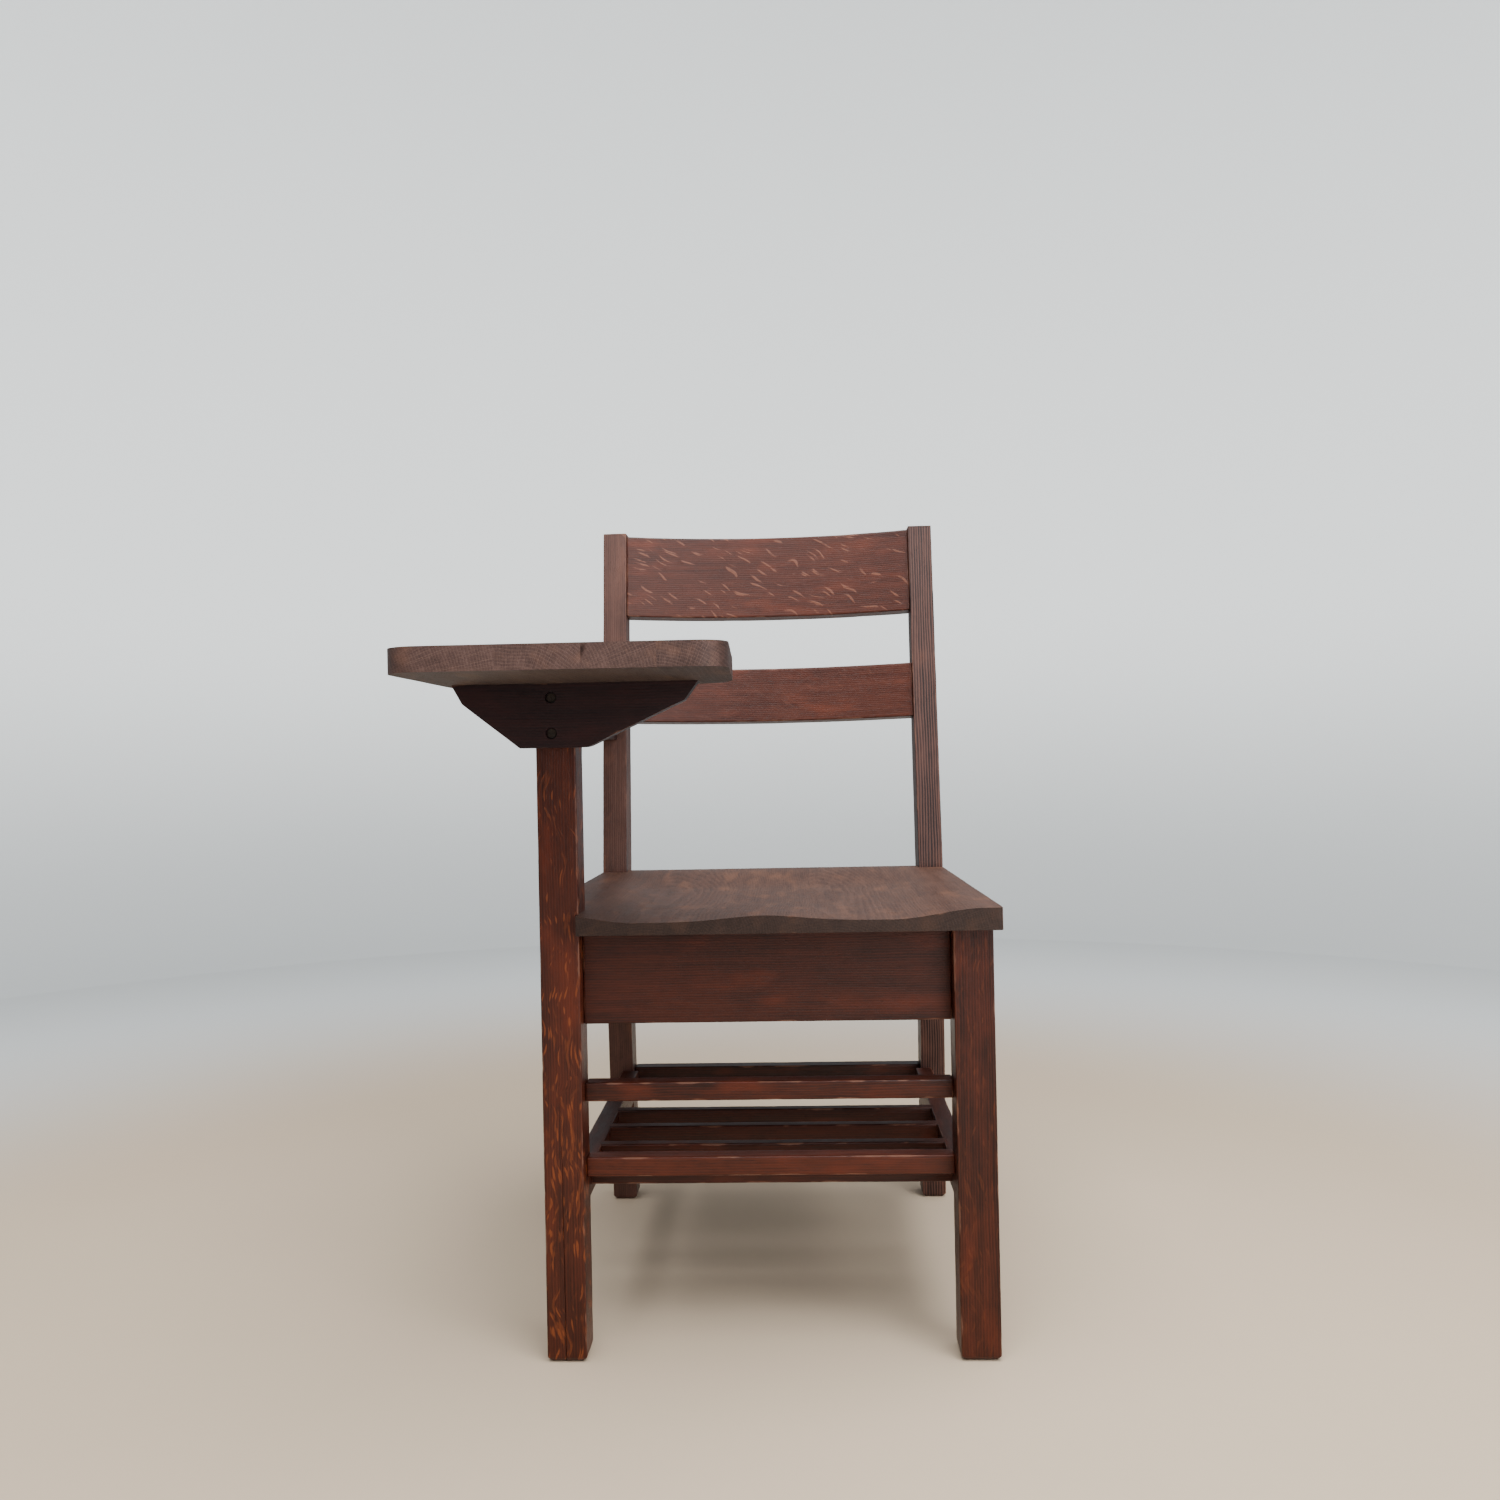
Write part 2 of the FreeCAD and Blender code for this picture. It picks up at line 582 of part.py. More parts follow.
def smooth(amount):
    amount = min(max(amount, 0.0), 1.0)
    return amount * amount * (3 - 2 * amount)


def seat_dip(x, y):
    """How far the saddled top lies below the rim, x from the middle, y behind the leg fronts."""
    from_front = y - value("-seat_overhang")
    into_rise = y - value("knee_front + back_rim - back_rise")
    across = smooth((value("hollow_half") - abs(x)) / value("hollow_ramp"))
    deep = value("seat_hollow") + value("hollow_gain") * smooth(from_front / value("hollow_run"))
    deep *= 1 - smooth(into_rise / value("back_rise"))
    rise = value("pommel") * math.exp(-(x / value("pommel_spread")) ** 2)
    return across * (deep - rise * (1 - smooth(from_front / value("pommel_run"))))


def saddle():
    """Everything under the saddled surface, wider than the seat."""
    reach, columns, rows = value("seat_half_front") + SPARE, 31, 25
    front, back = -value("seat_overhang") - SPARE, value("seat_rear") + SPARE
    grid = [[FreeCAD.Vector(x, y, -seat_dip(x, y))
             for y in (front + (back - front) * row / (rows - 1) for row in range(rows))]
            for x in (reach * (2 * column / (columns - 1) - 1) for column in range(columns))]
    surface = Part.BSplineSurface()
    surface.interpolate(grid)
    return surface.toShape().extrude(Z_WAY * (-value("seat_thick") - SPARE))


seat_top = doc.addObject("Part::Feature", "seat_saddle")
seat_top.Shape = saddle()
place(seat_top, "0", "0", KNEE_HEIGHT)
SEAT_SIDE_AT_LEG = ("-(seat_half_front - (seat_half_front - seat_half_rear)"
                    " * (leg_size + seat_overhang) / (knee_front + seat_overhang))")
seat_plan = polygon_body("seat_plan", "XY_Plane", [
    ("-(%s)" % LEG_INSIDE, "-seat_overhang"), ("seat_half_front", "-seat_overhang"),
    ("seat_half_rear", "knee_front"), (POST_INSIDE, "knee_front"),
    (POST_INSIDE, "seat_rear"), ("-(%s)" % POST_INSIDE, "seat_rear"),
    ("-(%s)" % POST_INSIDE, "knee_front"), ("-seat_half_rear", "knee_front"),
    (SEAT_SIDE_AT_LEG, "leg_size"), ("-(%s)" % LEG_INSIDE, "leg_size")],
    "seat_thick + %d" % SPARE, radii=[(1, "seat_corner")])
place(seat_plan, "0", "0", "seat_under")
seat_whole = doc.addObject("Part::Common", "seat_whole")
seat_whole.Base = seat_plan
seat_whole.Tool = seat_top


def boards(label, whole, edges, start, end, low, thick, entering):
    """Saw a glued-up panel into its boards at the given lines, each a piece of its own."""
    for number, (left, right) in enumerate(zip(edges, edges[1:]), 1):
        window = box("%s_%d_window" % (label, number), left, start, low,
                     "%s - (%s)" % (right, left), "%s - (%s)" % (end, start), thick)
        sawn = doc.addObject("Part::Common", "%s_%d_sawn" % (label, number))
        sawn.Base = whole
        sawn.Tool = window
        cut(sawn, "%s_%d" % (label, number), entering)


SEAT_LINES = ["-seat_half_front - %d" % SPARE, "seat_joint_1", "seat_joint_2", "seat_joint_3",
              "seat_joint_4", "seat_half_front + %d" % SPARE]
boards("seat_board", seat_whole, SEAT_LINES, "-seat_overhang - %d" % SPARE,
       "seat_rear + %d" % SPARE, "seat_under", "seat_thick + %d" % SPARE, seat_screws)

# ---------------------------------------------------------------- tablet

tablet_whole = polygon_body("tablet_whole", "XY_Plane", [
    ("-tablet_outer_front", "-tablet_front"), ("-tablet_inner", "-tablet_front"),
    ("-tablet_inner_rear", "writing_rear"), ("arm_swell - arm_inner", "writing_rear"),
    ("-arm_inner", "arm_rear"), ("-arm_outer", "arm_rear"),
    ("-tablet_outer_rear", "knee_front / 2")], "tablet_thick",
    radii=[(0, "corner_outer"), (1, "corner_inner"), (2, "corner_rear"), (3, "arm_sweep"),
           (5, "arm_corner"), (6, "side_sweep")])
place(tablet_whole, "0", "0", "tablet_under")
TABLET_LINES = ["-tablet_outer_rear - %d" % SPARE, "tablet_joint_1", "tablet_joint_2",
                "tablet_joint_3", "0"]
boards("tablet_board", tablet_whole, TABLET_LINES, "-tablet_front - %d" % SPARE,
       "arm_rear + %d" % SPARE, "tablet_under", "tablet_thick", tablet_screws)

# ---------------------------------------------------------------- check and write

doc.recompute()
for thing in doc.Objects:
    if {"Invalid", "Error"} & set(thing.State):
        raise SystemExit("%s failed: %s" % (thing.Label, thing.State))
for thing in finished:
    shape = thing.Shape
    if shape.isNull() or not shape.isValid() or not shape.Solids:
        raise SystemExit("%s has no valid solid" % thing.Label)
    shape.exportStep("parts/%s.step" % thing.Label)
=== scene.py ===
import math
import random

import bmesh
import bpy
from mathutils import Matrix, Vector, noise


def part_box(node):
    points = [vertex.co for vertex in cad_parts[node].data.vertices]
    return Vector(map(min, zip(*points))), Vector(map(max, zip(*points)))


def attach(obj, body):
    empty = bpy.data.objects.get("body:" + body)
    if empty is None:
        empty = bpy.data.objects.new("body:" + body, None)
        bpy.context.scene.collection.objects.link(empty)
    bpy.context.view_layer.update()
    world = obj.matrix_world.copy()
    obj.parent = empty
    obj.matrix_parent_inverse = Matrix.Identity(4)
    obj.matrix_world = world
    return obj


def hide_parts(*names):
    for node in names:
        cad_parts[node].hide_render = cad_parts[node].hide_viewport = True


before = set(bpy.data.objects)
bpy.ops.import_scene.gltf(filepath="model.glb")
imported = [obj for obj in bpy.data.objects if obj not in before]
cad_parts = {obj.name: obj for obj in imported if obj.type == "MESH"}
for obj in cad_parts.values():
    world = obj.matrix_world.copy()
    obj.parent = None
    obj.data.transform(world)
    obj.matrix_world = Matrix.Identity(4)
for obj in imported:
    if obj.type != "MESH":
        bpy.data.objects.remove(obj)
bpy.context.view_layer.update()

bl_info = {
    "name": "School Chair with Writing Tablet",
    "version": (1, 0, 0),
    "blender": (4, 5, 0),
    "location": "View3D > Sidebar > School Chair",
    "description": "Builds an old oak tablet-arm school chair round its joinery",
    "category": "Object",
}

X, Y, Z = 0, 1, 2
MM = 0.001

# ---------------------------------------------------------------- sizes and colours


def metres(name, text, default):
    return bpy.props.FloatProperty(name=name, description=text, default=default, min=0,
                                   unit="LENGTH", precision=5)


def colour(name, text, default):
    return bpy.props.FloatVectorProperty(name=name, description=text, default=default, size=3,
                                         min=0, max=1, subtype="COLOR")


class SchoolChairSizes(bpy.types.PropertyGroup):
    arris: metres("Arris", "Rounding of the long edges of posts and rails", 1.8 * MM)
    foot_bevel: metres("Foot Bevel", "Bevel round the bottom of each leg", 4.5 * MM)
    edge_wear: metres("Edge Wear", "How deep the edges are worn where they are worn most", 0.5 * MM)
    shoulder: metres("Shoulder", "Width of a tenon's shoulder", 5 * MM)
    tenon: metres("Tenon", "Length of a tenon", 14 * MM)
    slice_length: metres("Slice", "Spacing of the slices that a piece is shaped with", 7 * MM)
    knee_depth: metres("Knee Depth", "Rear post, front to back, at the seat", 50 * MM)
    knee_blend: metres("Knee Blend", "Height over which the back of the rear post turns", 21 * MM)
    rail_bow: metres("Rail Bow", "Hollow of the curved back rails over their length", 21 * MM)
    rail_thick: metres("Rail Thickness", "Curved back rails", 22 * MM)
    rail_recess: metres("Rail Recess", "Curved back rails behind the faces of the posts", 6 * MM)
    hollow: metres("Hollow", "Depth of the saddled seat at its front edge", 9.5 * MM)
    hollow_gain: metres("Hollow Gain", "Further depth towards the middle of the seat", 2 * MM)
    hollow_run: metres("Hollow Run", "Front edge to the deepest part of the hollow", 200 * MM)
    hollow_half: metres("Hollow Half Width", "Middle of the seat to the rim of the hollow",
                        205 * MM)
    hollow_ramp: metres("Hollow Ramp", "Width of the slope from the rim into the hollow", 85 * MM)
    back_rise: metres("Back Rise", "Length of the slope up to the rear rim", 125 * MM)
    back_rim: metres("Back Rim", "End of that slope behind the fronts of the posts", 9 * MM)
    pommel: metres("Pommel", "Rise in the middle of the seat's front edge", 5.5 * MM)
    pommel_spread: metres("Pommel Spread", "Half width of that rise", 50 * MM)
    pommel_run: metres("Pommel Run", "Front edge to where that rise dies out", 190 * MM)
    seat_corner: metres("Seat Corner", "Rounding of the seat's free front corner", 4 * MM)
    seat_edge: metres("Seat Edge", "Rounding of the seat's rim", 2.6 * MM)
    tablet_edge: metres("Tablet Edge", "Rounding of the tablet's rim", 2.2 * MM)
    outer_over: metres("Outer Overshoot", "Corner of the swept side beyond its curve", 0.3 * MM)
    outer_taper: metres("Outer Taper", "Front of the tablet narrower on its outer side", 6.5 * MM)
    outer_corner: metres("Outer Corner", "Radius of the tablet's outer front corner", 30 * MM)
    outer_sweep: metres("Outer Sweep", "Radius of the tablet's outer side", 250 * MM)
    inner_over: metres("Inner Overshoot", "Inner front corner beyond its curve", 0.8 * MM)
    inner_taper: metres("Inner Taper", "Rear of the tablet narrower on its inner side", 8 * MM)
    inner_corner: metres("Inner Corner", "Radius of the tablet's inner front corner", 25 * MM)
    elbow_corner: metres("Elbow Corner", "Radius of the tablet's inner rear corner", 55 * MM)
    elbow_hollow: metres("Elbow Hollow", "Radius from the tablet into the arm rest", 70 * MM)
    arm_flare: metres("Arm Flare", "Widening of the arm rest towards the tablet", 18 * MM)
    arm_inside: metres("Arm Inside", "Arm rest beyond the inner face of its rail", 25 * MM)
    arm_outside: metres("Arm Outside", "Arm rest beyond the outer face of its rail", 57 * MM)
    arm_corner: metres("Arm Corner", "Radius of the arm rest's outer rear corner", 28 * MM)
    bracket_lip: metres("Bracket Lip", "Height of the bracket's blunt ends", 18 * MM)
    lip_outer: metres("Outer Lip", "Lean of the bracket's outer end", 10 * MM)
    lip_inner: metres("Inner Lip", "Lean of the bracket's inner end", 13.5 * MM)
    toe_outer: metres("Outer Toe", "Outer end to the flat of the bracket's foot", 64 * MM)
    toe_inner: metres("Inner Toe", "Inner end to the flat of the bracket's foot", 105 * MM)
    toe_round: metres("Toe Round", "Radius of the inner corner of that foot", 18 * MM)
    bracket_arris: metres("Bracket Arris", "Rounding of the bracket's edges", 1.1 * MM)
    tablet_chips: metres("Tablet Chips", "Depth of the chips along the tablet's lower edge",
                         2.6 * MM)
    glue_line: metres("Glue Line", "Rounding of the boards beside a glue line", 0.2 * MM)
    check_height: metres("Check Height", "Height of the drying check in the tablet post", 262 * MM)
    check_width: metres("Check Width", "Width of that check at its widest", 0.9 * MM)
    recess_radius: metres("Recess Radius", "Holes that the bracket's screws sit in", 5.4 * MM)
    recess_depth: metres("Recess Depth", "Depth of those holes", 4.2 * MM)
    head_radius: metres("Head Radius", "Heads of the bracket's screws", 4.2 * MM)
    head_height: metres("Head Height", "Thickness of those heads", 2.2 * MM)
    slot_half: metres("Slot Half Width", "Half the width of a screw's slot", 0.6 * MM)
    slot_depth: metres("Slot Depth", "Depth of a screw's slot", 0.9 * MM)
    shank_start: metres("Shank Start", "Middle of the head to the top of the shank", 0.5 * MM)
    shank_length: metres("Shank Length", "Shanks of the bracket's screws", 36 * MM)
    shank_root: metres("Shank Root", "Radius of a shank under its head", 2.2 * MM)
    shank_tip: metres("Shank Tip", "Radius of a shank at its tip", 1.1 * MM)


class SchoolChairColours(bpy.types.PropertyGroup):
    frame_dark: colour("Frame Dark", "Stain in the grain of posts and rails", (0.0145, 0.0028, 0.0015))
    frame_body: colour("Frame Body", "Posts and rails", (0.07, 0.0132, 0.0052))
    frame_fleck: colour("Frame Fleck", "Ray flecks of posts and rails", (0.24, 0.058, 0.015))
    back_dark: colour("Back Dark", "Stain in the grain of the curved rails", (0.024, 0.005, 0.003))
    back_body: colour("Back Body", "Curved back rails", (0.072, 0.0165, 0.008))
    back_fleck: colour("Back Fleck", "Ray flecks of the curved rails", (0.185, 0.069, 0.041))
    plain_dark: colour("Plain Dark", "Stain in the grain of the right rear post",
                       (0.0125, 0.005, 0.0046))
    plain_body: colour("Plain Body", "Right rear post", (0.092, 0.0395, 0.0295))
    grey_dark: colour("Grey Dark", "Stain in the grain of the left rear post",
                      (0.030, 0.0125, 0.0095))
    grey_body: colour("Grey Body", "Left rear post", (0.096, 0.0420, 0.0310))
    apron_dark: colour("Apron Dark", "Stain in the grain of the aprons", (0.015, 0.0032, 0.002))
    apron_body: colour("Apron Body", "Aprons", (0.055, 0.0108, 0.0048))
    seat_dark: colour("Seat Dark", "Stain in the grain of the seat", (0.036, 0.0155, 0.0105))
    seat_body: colour("Seat Body", "Seat boards", (0.094, 0.0465, 0.0325))
    tablet_dark: colour("Tablet Dark", "Stain in the grain of the tablet", (0.03, 0.015, 0.012))
    tablet_body: colour("Tablet Body", "Tablet boards", (0.083, 0.045, 0.037))
    under_dark: colour("Underside Dark", "Stain in the tablet's underside", (0.032, 0.0215, 0.0195))
    under_body: colour("Underside Body", "Underside of the tablet", (0.07, 0.048, 0.042))
    bracket_dark: colour("Bracket Dark", "Stain in the bracket's grain", (0.007, 0.002, 0.0026))
    bracket_body: colour("Bracket Body", "Crosswise bracket", (0.02, 0.0042, 0.0042))
    inner_dark: colour("Inner Dark", "Stain in the grain of hidden blocks", (0.060, 0.028, 0.014))
    inner_body: colour("Inner Body", "Hidden corner blocks", (0.20, 0.105, 0.052))
    worn: colour("Worn", "Wood where the varnish has worn off an edge", (0.2, 0.092, 0.058))
    steel: colour("Steel", "Tarnished screws", (0.045, 0.037, 0.031))
    tarnish: colour("Tarnish", "Brown spots on the screws", (0.030, 0.017, 0.011))
    floor: colour("Floor", "Plain pale floor", (0.57, 0.452, 0.33))
    backdrop: colour("Backdrop", "Plain wall round the floor", (0.80, 0.83, 0.83))


class SchoolChairView(bpy.types.PropertyGroup):
    place: bpy.props.FloatVectorProperty(
        name="Camera Place", description="Where the camera stands", size=3, unit="LENGTH",
        subtype="TRANSLATION", default=(0.07293, -1.34238, 0.575))
    yaw: bpy.props.FloatProperty(name="Yaw", description="Camera's turn to the left",
                                 default=math.radians(2.0481), subtype="ANGLE")
    pitch: bpy.props.FloatProperty(name="Pitch", description="Camera's tilt upwards",
                                   default=math.radians(0.2112), subtype="ANGLE")
    roll: bpy.props.FloatProperty(name="Roll", description="Camera's turn about its own axis",
                                  default=math.radians(1.1359), subtype="ANGLE")
    lens: bpy.props.FloatProperty(name="Lens", description="Focal length on a 36 mm sensor",
                                  default=30.168, min=1, unit="CAMERA")
    studio: metres("Studio Radius", "Radius of the flat floor", 2.6)
    cove: metres("Cove Radius", "Curve from the floor's level up to the backdrop", 1.2)
    wall: metres("Wall Height", "Upright part of the backdrop", 3.2)


def sizes():
    """The chair's sizes, as the panel shows them."""
    return bpy.context.scene.school_chair_sizes


def colours():
    """The chair's colours, as the panel shows them."""
    return bpy.context.scene.school_chair_colours


# ---------------------------------------------------------------- shader expressions


class Wire:
    """An output of a node. Arithmetic on it adds Math nodes."""

    def __init__(self, shader, output):
        self.shader = shader
        self.output = output

    def __add__(self, other):
        return self.shader.math("ADD", self, other)

    def __sub__(self, other):
        return self.shader.math("SUBTRACT", self, other)

    def __rsub__(self, other):
        return self.shader.math("SUBTRACT", other, self)

    def __mul__(self, other):
        return self.shader.math("MULTIPLY", self, other)

    __radd__ = __add__
    __rmul__ = __mul__

    def step(self, low, high):
        """A smooth step from 0 at low to 1 at high."""
        return self.shader.node(
            "ShaderNodeMapRange", {"interpolation_type": "SMOOTHSTEP"},
            {"Value": self, "From Min": low, "From Max": high})

    def limited(self):
        """The same value, held between 0 and 1."""
        return self.shader.node("ShaderNodeMath", {"operation": "ADD", "use_clamp": True},
                                {0: self, 1: 0})


class Shader:
    """One material's nodes."""

    def __init__(self, name):
        self.material = bpy.data.materials.new(name)
        self.material.use_nodes = True
        self.tree = self.material.node_tree
        self.tree.nodes.clear()

    def node(self, kind, settings=None, inputs=None, output=0):
        made = self.tree.nodes.new(kind)
        for key, setting in (settings or {}).items():
            setattr(made, key, setting)
        for key, given in (inputs or {}).items():
            if isinstance(given, Wire):
                self.tree.links.new(given.output, made.inputs[key])
            else:
                made.inputs[key].default_value = given
        return Wire(self, made.outputs[output]) if made.outputs else None

    def math(self, operation, first, second):
        return self.node("ShaderNodeMath", {"operation": operation}, {0: first, 1: second})

    def vector(self, operation, first, second):
        return self.node("ShaderNodeVectorMath", {"operation": operation}, {0: first, 1: second})

    def mix(self, factor, first, second):
        """Mixes two colours, each a wire or three numbers."""
        full = [given if isinstance(given, Wire) else (*given, 1) for given in (first, second)]
        return self.node("ShaderNodeMix", {"data_type": "RGBA"},
                         {"Factor": factor, 6: full[0], 7: full[1]}, 2)

    def noise(self, at, stretch, detail=2.0, roughness=0.5):
        """Noise with its own number of cycles per metre along each axis."""
        return self.node("ShaderNodeTexNoise", {"normalize": True},
                         {"Vector": self.vector("MULTIPLY", at, stretch), "Scale": 1.0,
                          "Detail": detail, "Roughness": roughness})

    def length(self, at):
        return self.node("ShaderNodeVectorMath", {"operation": "LENGTH"}, {0: at}, "Value")

    def part(self, at, axis):
        return self.node("ShaderNodeSeparateXYZ", {}, {"Vector": at}, axis)

    def bump(self, height, strength, distance):
        return self.node("ShaderNodeBump", {}, {"Height": height, "Strength": strength,
                                                "Distance": distance})

    def surface(self, inputs, specular=0.25):
        """Ends the material with one lit surface."""
        lit = self.node("ShaderNodeBsdfPrincipled", {},
                        {**inputs, "Specular IOR Level": specular})
        self.node("ShaderNodeOutputMaterial", {}, {"Surface": lit})
        return self.material


def scaled(tone, *factors):
    """A colour made lighter or darker, by one factor or by one for each channel."""
    return [min(1, level * factor) for level, factor in zip(tone, factors * (3 // len(factors)))]


# ---------------------------------------------------------------- wood


MATERIALS = {}
# how bright each wood's end grain is
END_GRAIN = {"frame": 0.6, "back": 0.6, "plain": 0.7, "grey": 0.7, "apron": 0.6, "seat": 0.34,
             "tablet": 1.15, "under": 0.8, "bracket": 0.8}
BLOCK_LOG = (0.3, 0.11, 0.05)       # where the hidden blocks lie in their log, in metres


def wood_coordinates(wood, grain):
    """Where a point lies in its log, how worn and flecked the wood is there, and how far it is
    lightened or darkened, for its own tone and as painted shade.
    """
    if grain is None:
        def read(name, output="Fac"):
            return wood.node("ShaderNodeAttribute", {"attribute_name": name}, {}, output)

        return read("grain", "Vector"), read("wear"), read("tint"), read("figured")
    at = wood.node("ShaderNodeMapping", {}, {
        "Vector": wood.node("ShaderNodeTexCoord", {}, {}, "Object"),
        "Location": BLOCK_LOG, "Rotation": grain})
    return at, None, 0.0, 1.0


def growth_rings(wood, at, rings):
    """How much of the dark late wood shows, in rings round the heart of the log."""
    radius = wood.length(wood.vector("MULTIPLY", at, (0, 1, 1)))
    wander = wood.noise(at, (5, 22, 22), 3)
    ring = wood.math("FRACT", radius * rings + wander * 3.4, 0)
    return ring.step(0.25, 1.0) * (1 - ring.step(0.93, 1.0))


def ray_flecks(wood, at, fleck_size, fleck_turn, ripple):
    """Medullary rays, seen as flecks where the face is sawn along them."""
    drift = wood.node("ShaderNodeTexNoise", {"noise_dimensions": "3D"},
                      {"Vector": at, "Scale": 24.0, "Detail": 1.0}, "Color")
    bent = wood.node("ShaderNodeVectorMath", {"operation": "MULTIPLY_ADD"},
                     {0: drift, 1: (0.034, 0.026, 0.0), 2: at})
    turned = wood.node("ShaderNodeMapping", {}, {
        "Vector": bent, "Rotation": (0, 0, fleck_turn)})
    long, wide = fleck_size
    cells = {"Vector": wood.vector("MULTIPLY", turned, (1 / long, 1 / wide, 60)),
             "Scale": 1.0, "Randomness": 1.0}
    near = wood.node("ShaderNodeTexVoronoi", {"feature": "F1"}, cells, "Distance")
    pick = wood.node("ShaderNodeSeparateColor", {}, {
        0: wood.node("ShaderNodeTexVoronoi", {"feature": "F1"}, cells, "Color")})
    crowd = wood.noise(at, (16, 30, 30), 2)
    ragged = wood.noise(at, (200, 600, 600), 2)
    wanted = (pick + crowd * 1.4 - 0.70).step(0.46, 0.60)
    dash = (1 - (near + ragged * 0.26).step(0.32, 0.52)) * wanted
    wavy = wood.noise(turned, (0.9 / long, 0.8 / wide, 60), 2, 0.55)
    tiger = wavy.step(0.55, 0.66) * crowd.step(0.36, 0.56) * ripple
    return (dash + tiger).limited()


def sawn_end(wood, at, face, dark, body):
    """Darkens a sawn end with pores and lightens it with rays that fan out from the heart."""
    speckle = wood.noise(at, (1, 260, 900), 3, 0.7)
    face = wood.mix(speckle.step(0.35, 0.7) * 0.4, face, scaled(dark, 0.8))
    spoke = wood.math("ARCTAN2", wood.part(at, "Z"), wood.part(at, "Y")) * 210 + speckle * 1.2
    fan = wood.node("ShaderNodeTexNoise", {"noise_dimensions": "1D"},
                    {"W": spoke, "Scale": 1.0, "Detail": 2.0})
    return wood.mix(fan.step(0.56, 0.70) * 0.35, face, scaled(body, 1.9))


def worn_varnish(wood, at, worn, face, dark):
    """Bares the wood on worn edges and leaves grime in random patches away from them."""
    patch = wood.noise(at, (46, 90, 90), 4, 0.7)
    bare = (worn * 1.3 + patch * 1.25 - 1.02).step(0.14, 0.62)
    face = wood.mix(bare * 0.5, face, tuple(colours().worn))
    grime = wood.noise(at, (60, 150, 150), 3, 0.7).step(0.56, 0.80)
    return wood.mix(grime * (1 - bare) * 0.35, face, scaled(dark, 0.6))


def oak(name, dark, body, fleck, flecks=0.0, fleck_size=(0.026, 0.0044), fleck_turn=0.0,
        ripple=0.0, sheen=0.42, figure=1.0, rings=390, end=False, grain=None):
    """Stained oak, cut from a log in the piece's own wood coordinates.

    x runs along the grain, and y and z lie across it, measured from the heart of the log.
    """
    if name in MATERIALS:
        return MATERIALS[name]
    wood = Shader(name)
    at, worn, tint, figured = wood_coordinates(wood, grain)
    late = growth_rings(wood, at, rings)
    fibre = wood.noise(at, (14, 620, 620), 3, 0.6)
    streak = wood.noise(at, (4.5, 95, 95), 4, 0.62)
    blotch = wood.noise(at, (9, 15, 15), 4, 0.6)
    cloud = wood.noise(at, (34, 52, 52), 4, 0.65)
    pore = wood.noise(at, (110, 2300, 2300) if not end else (900, 1500, 1500), 1)
    pores = pore.step(0.60, 0.74) * (1 - late * 0.7)

    shade = (streak - 0.5) * 1.2 + (blotch - 0.5) * 0.8 + (cloud - 0.5) * 0.7
    # the per-piece value added here lightens or darkens a whole piece: its own tone, and on the book
    # rack's rear rail painted shade
    shade = shade + (late - 0.45) * 0.34 * figure + (fibre - 0.5) * 1.0 + tint * 0.5 + 0.56
    face = wood.mix(shade.limited(), dark, body)
    warm = wood.noise(at, (13, 40, 40), 2)
    face = wood.mix(warm.step(0.52, 0.74) * 0.42, face, scaled(body, 1.7, 1.5, 1.2))
    fleck_height = 0.0
    if flecks:
        shape = ray_flecks(wood, at, fleck_size, fleck_turn, ripple) * figured
        fleck_height = shape * 0.35
        face = wood.mix(shape * flecks, face, fleck)
    face = wood.mix(pores * 0.62, face, scaled(dark, 0.35))
    if end:
        face = sawn_end(wood, at, face, dark, body)
    if worn is not None:
        face = worn_varnish(wood, at, worn, face, dark)
    height = (fibre * 0.5 + late * 0.35 - pores * 1.1 + fleck_height + cloud * 0.8)
    gloss = sheen + (streak - 0.5) * 0.16 + pores * 0.16 + (cloud - 0.5) * 0.22
    return MATERIALS.setdefault(name, wood.surface({
        "Base Color": face, "Roughness": gloss.limited(),
        "Normal": wood.bump(height, 0.34, 0.0005)}))


def finish(name, end=False):
    """The oak of one group of pieces, or of its end grain."""
    tone = colours()
    label = name + ("_end" if end else "")
    dark, body = tuple(getattr(tone, name + "_dark")), tuple(getattr(tone, name + "_body"))
    made = {
        "frame": {"fleck": tone.frame_fleck, "flecks": 0.52, "fleck_size": (0.019, 0.0031),
                  "ripple": 0.55, "sheen": 0.40},
        "back": {"fleck": tone.back_fleck, "flecks": 0.66, "fleck_size": (0.029, 0.0044),
                 "fleck_turn": math.radians(28), "sheen": 0.40},
        "plain": {"fleck": tone.back_fleck, "figure": 3.4, "rings": 310, "sheen": 0.46},
        "grey": {"fleck": tone.back_fleck, "flecks": 0.5, "fleck_turn": math.radians(-50),
                 "sheen": 0.46},
        "apron": {"fleck": tone.frame_fleck, "flecks": 0.16, "sheen": 0.42},
        "seat": {"fleck": tone.back_fleck, "flecks": 0.10, "sheen": 0.46, "figure": 0.8},
        "tablet": {"fleck": tone.back_fleck, "flecks": 0.20, "sheen": 0.48},
        "under": {"fleck": tone.back_fleck, "sheen": 0.66},
        "bracket": {"fleck": tone.frame_fleck, "sheen": 0.44},
    }[name]
    if end:
        made = {**made, "flecks": 0.0, "end": True, "sheen": made["sheen"] + 0.08}
        dark, body = scaled(dark, END_GRAIN[name]), scaled(body, END_GRAIN[name])
    return oak("oak_" + label, dark, body, tuple(made.pop("fleck")), **made)


def finish_block():
    """The raw oak of the hidden corner blocks, in their own coordinates."""
    tone = colours()
    return oak("oak_inner", tuple(tone.inner_dark), tuple(tone.inner_body),
               tuple(tone.back_fleck), flecks=0.2, sheen=0.6, grain=(0, 0, math.pi / 2))


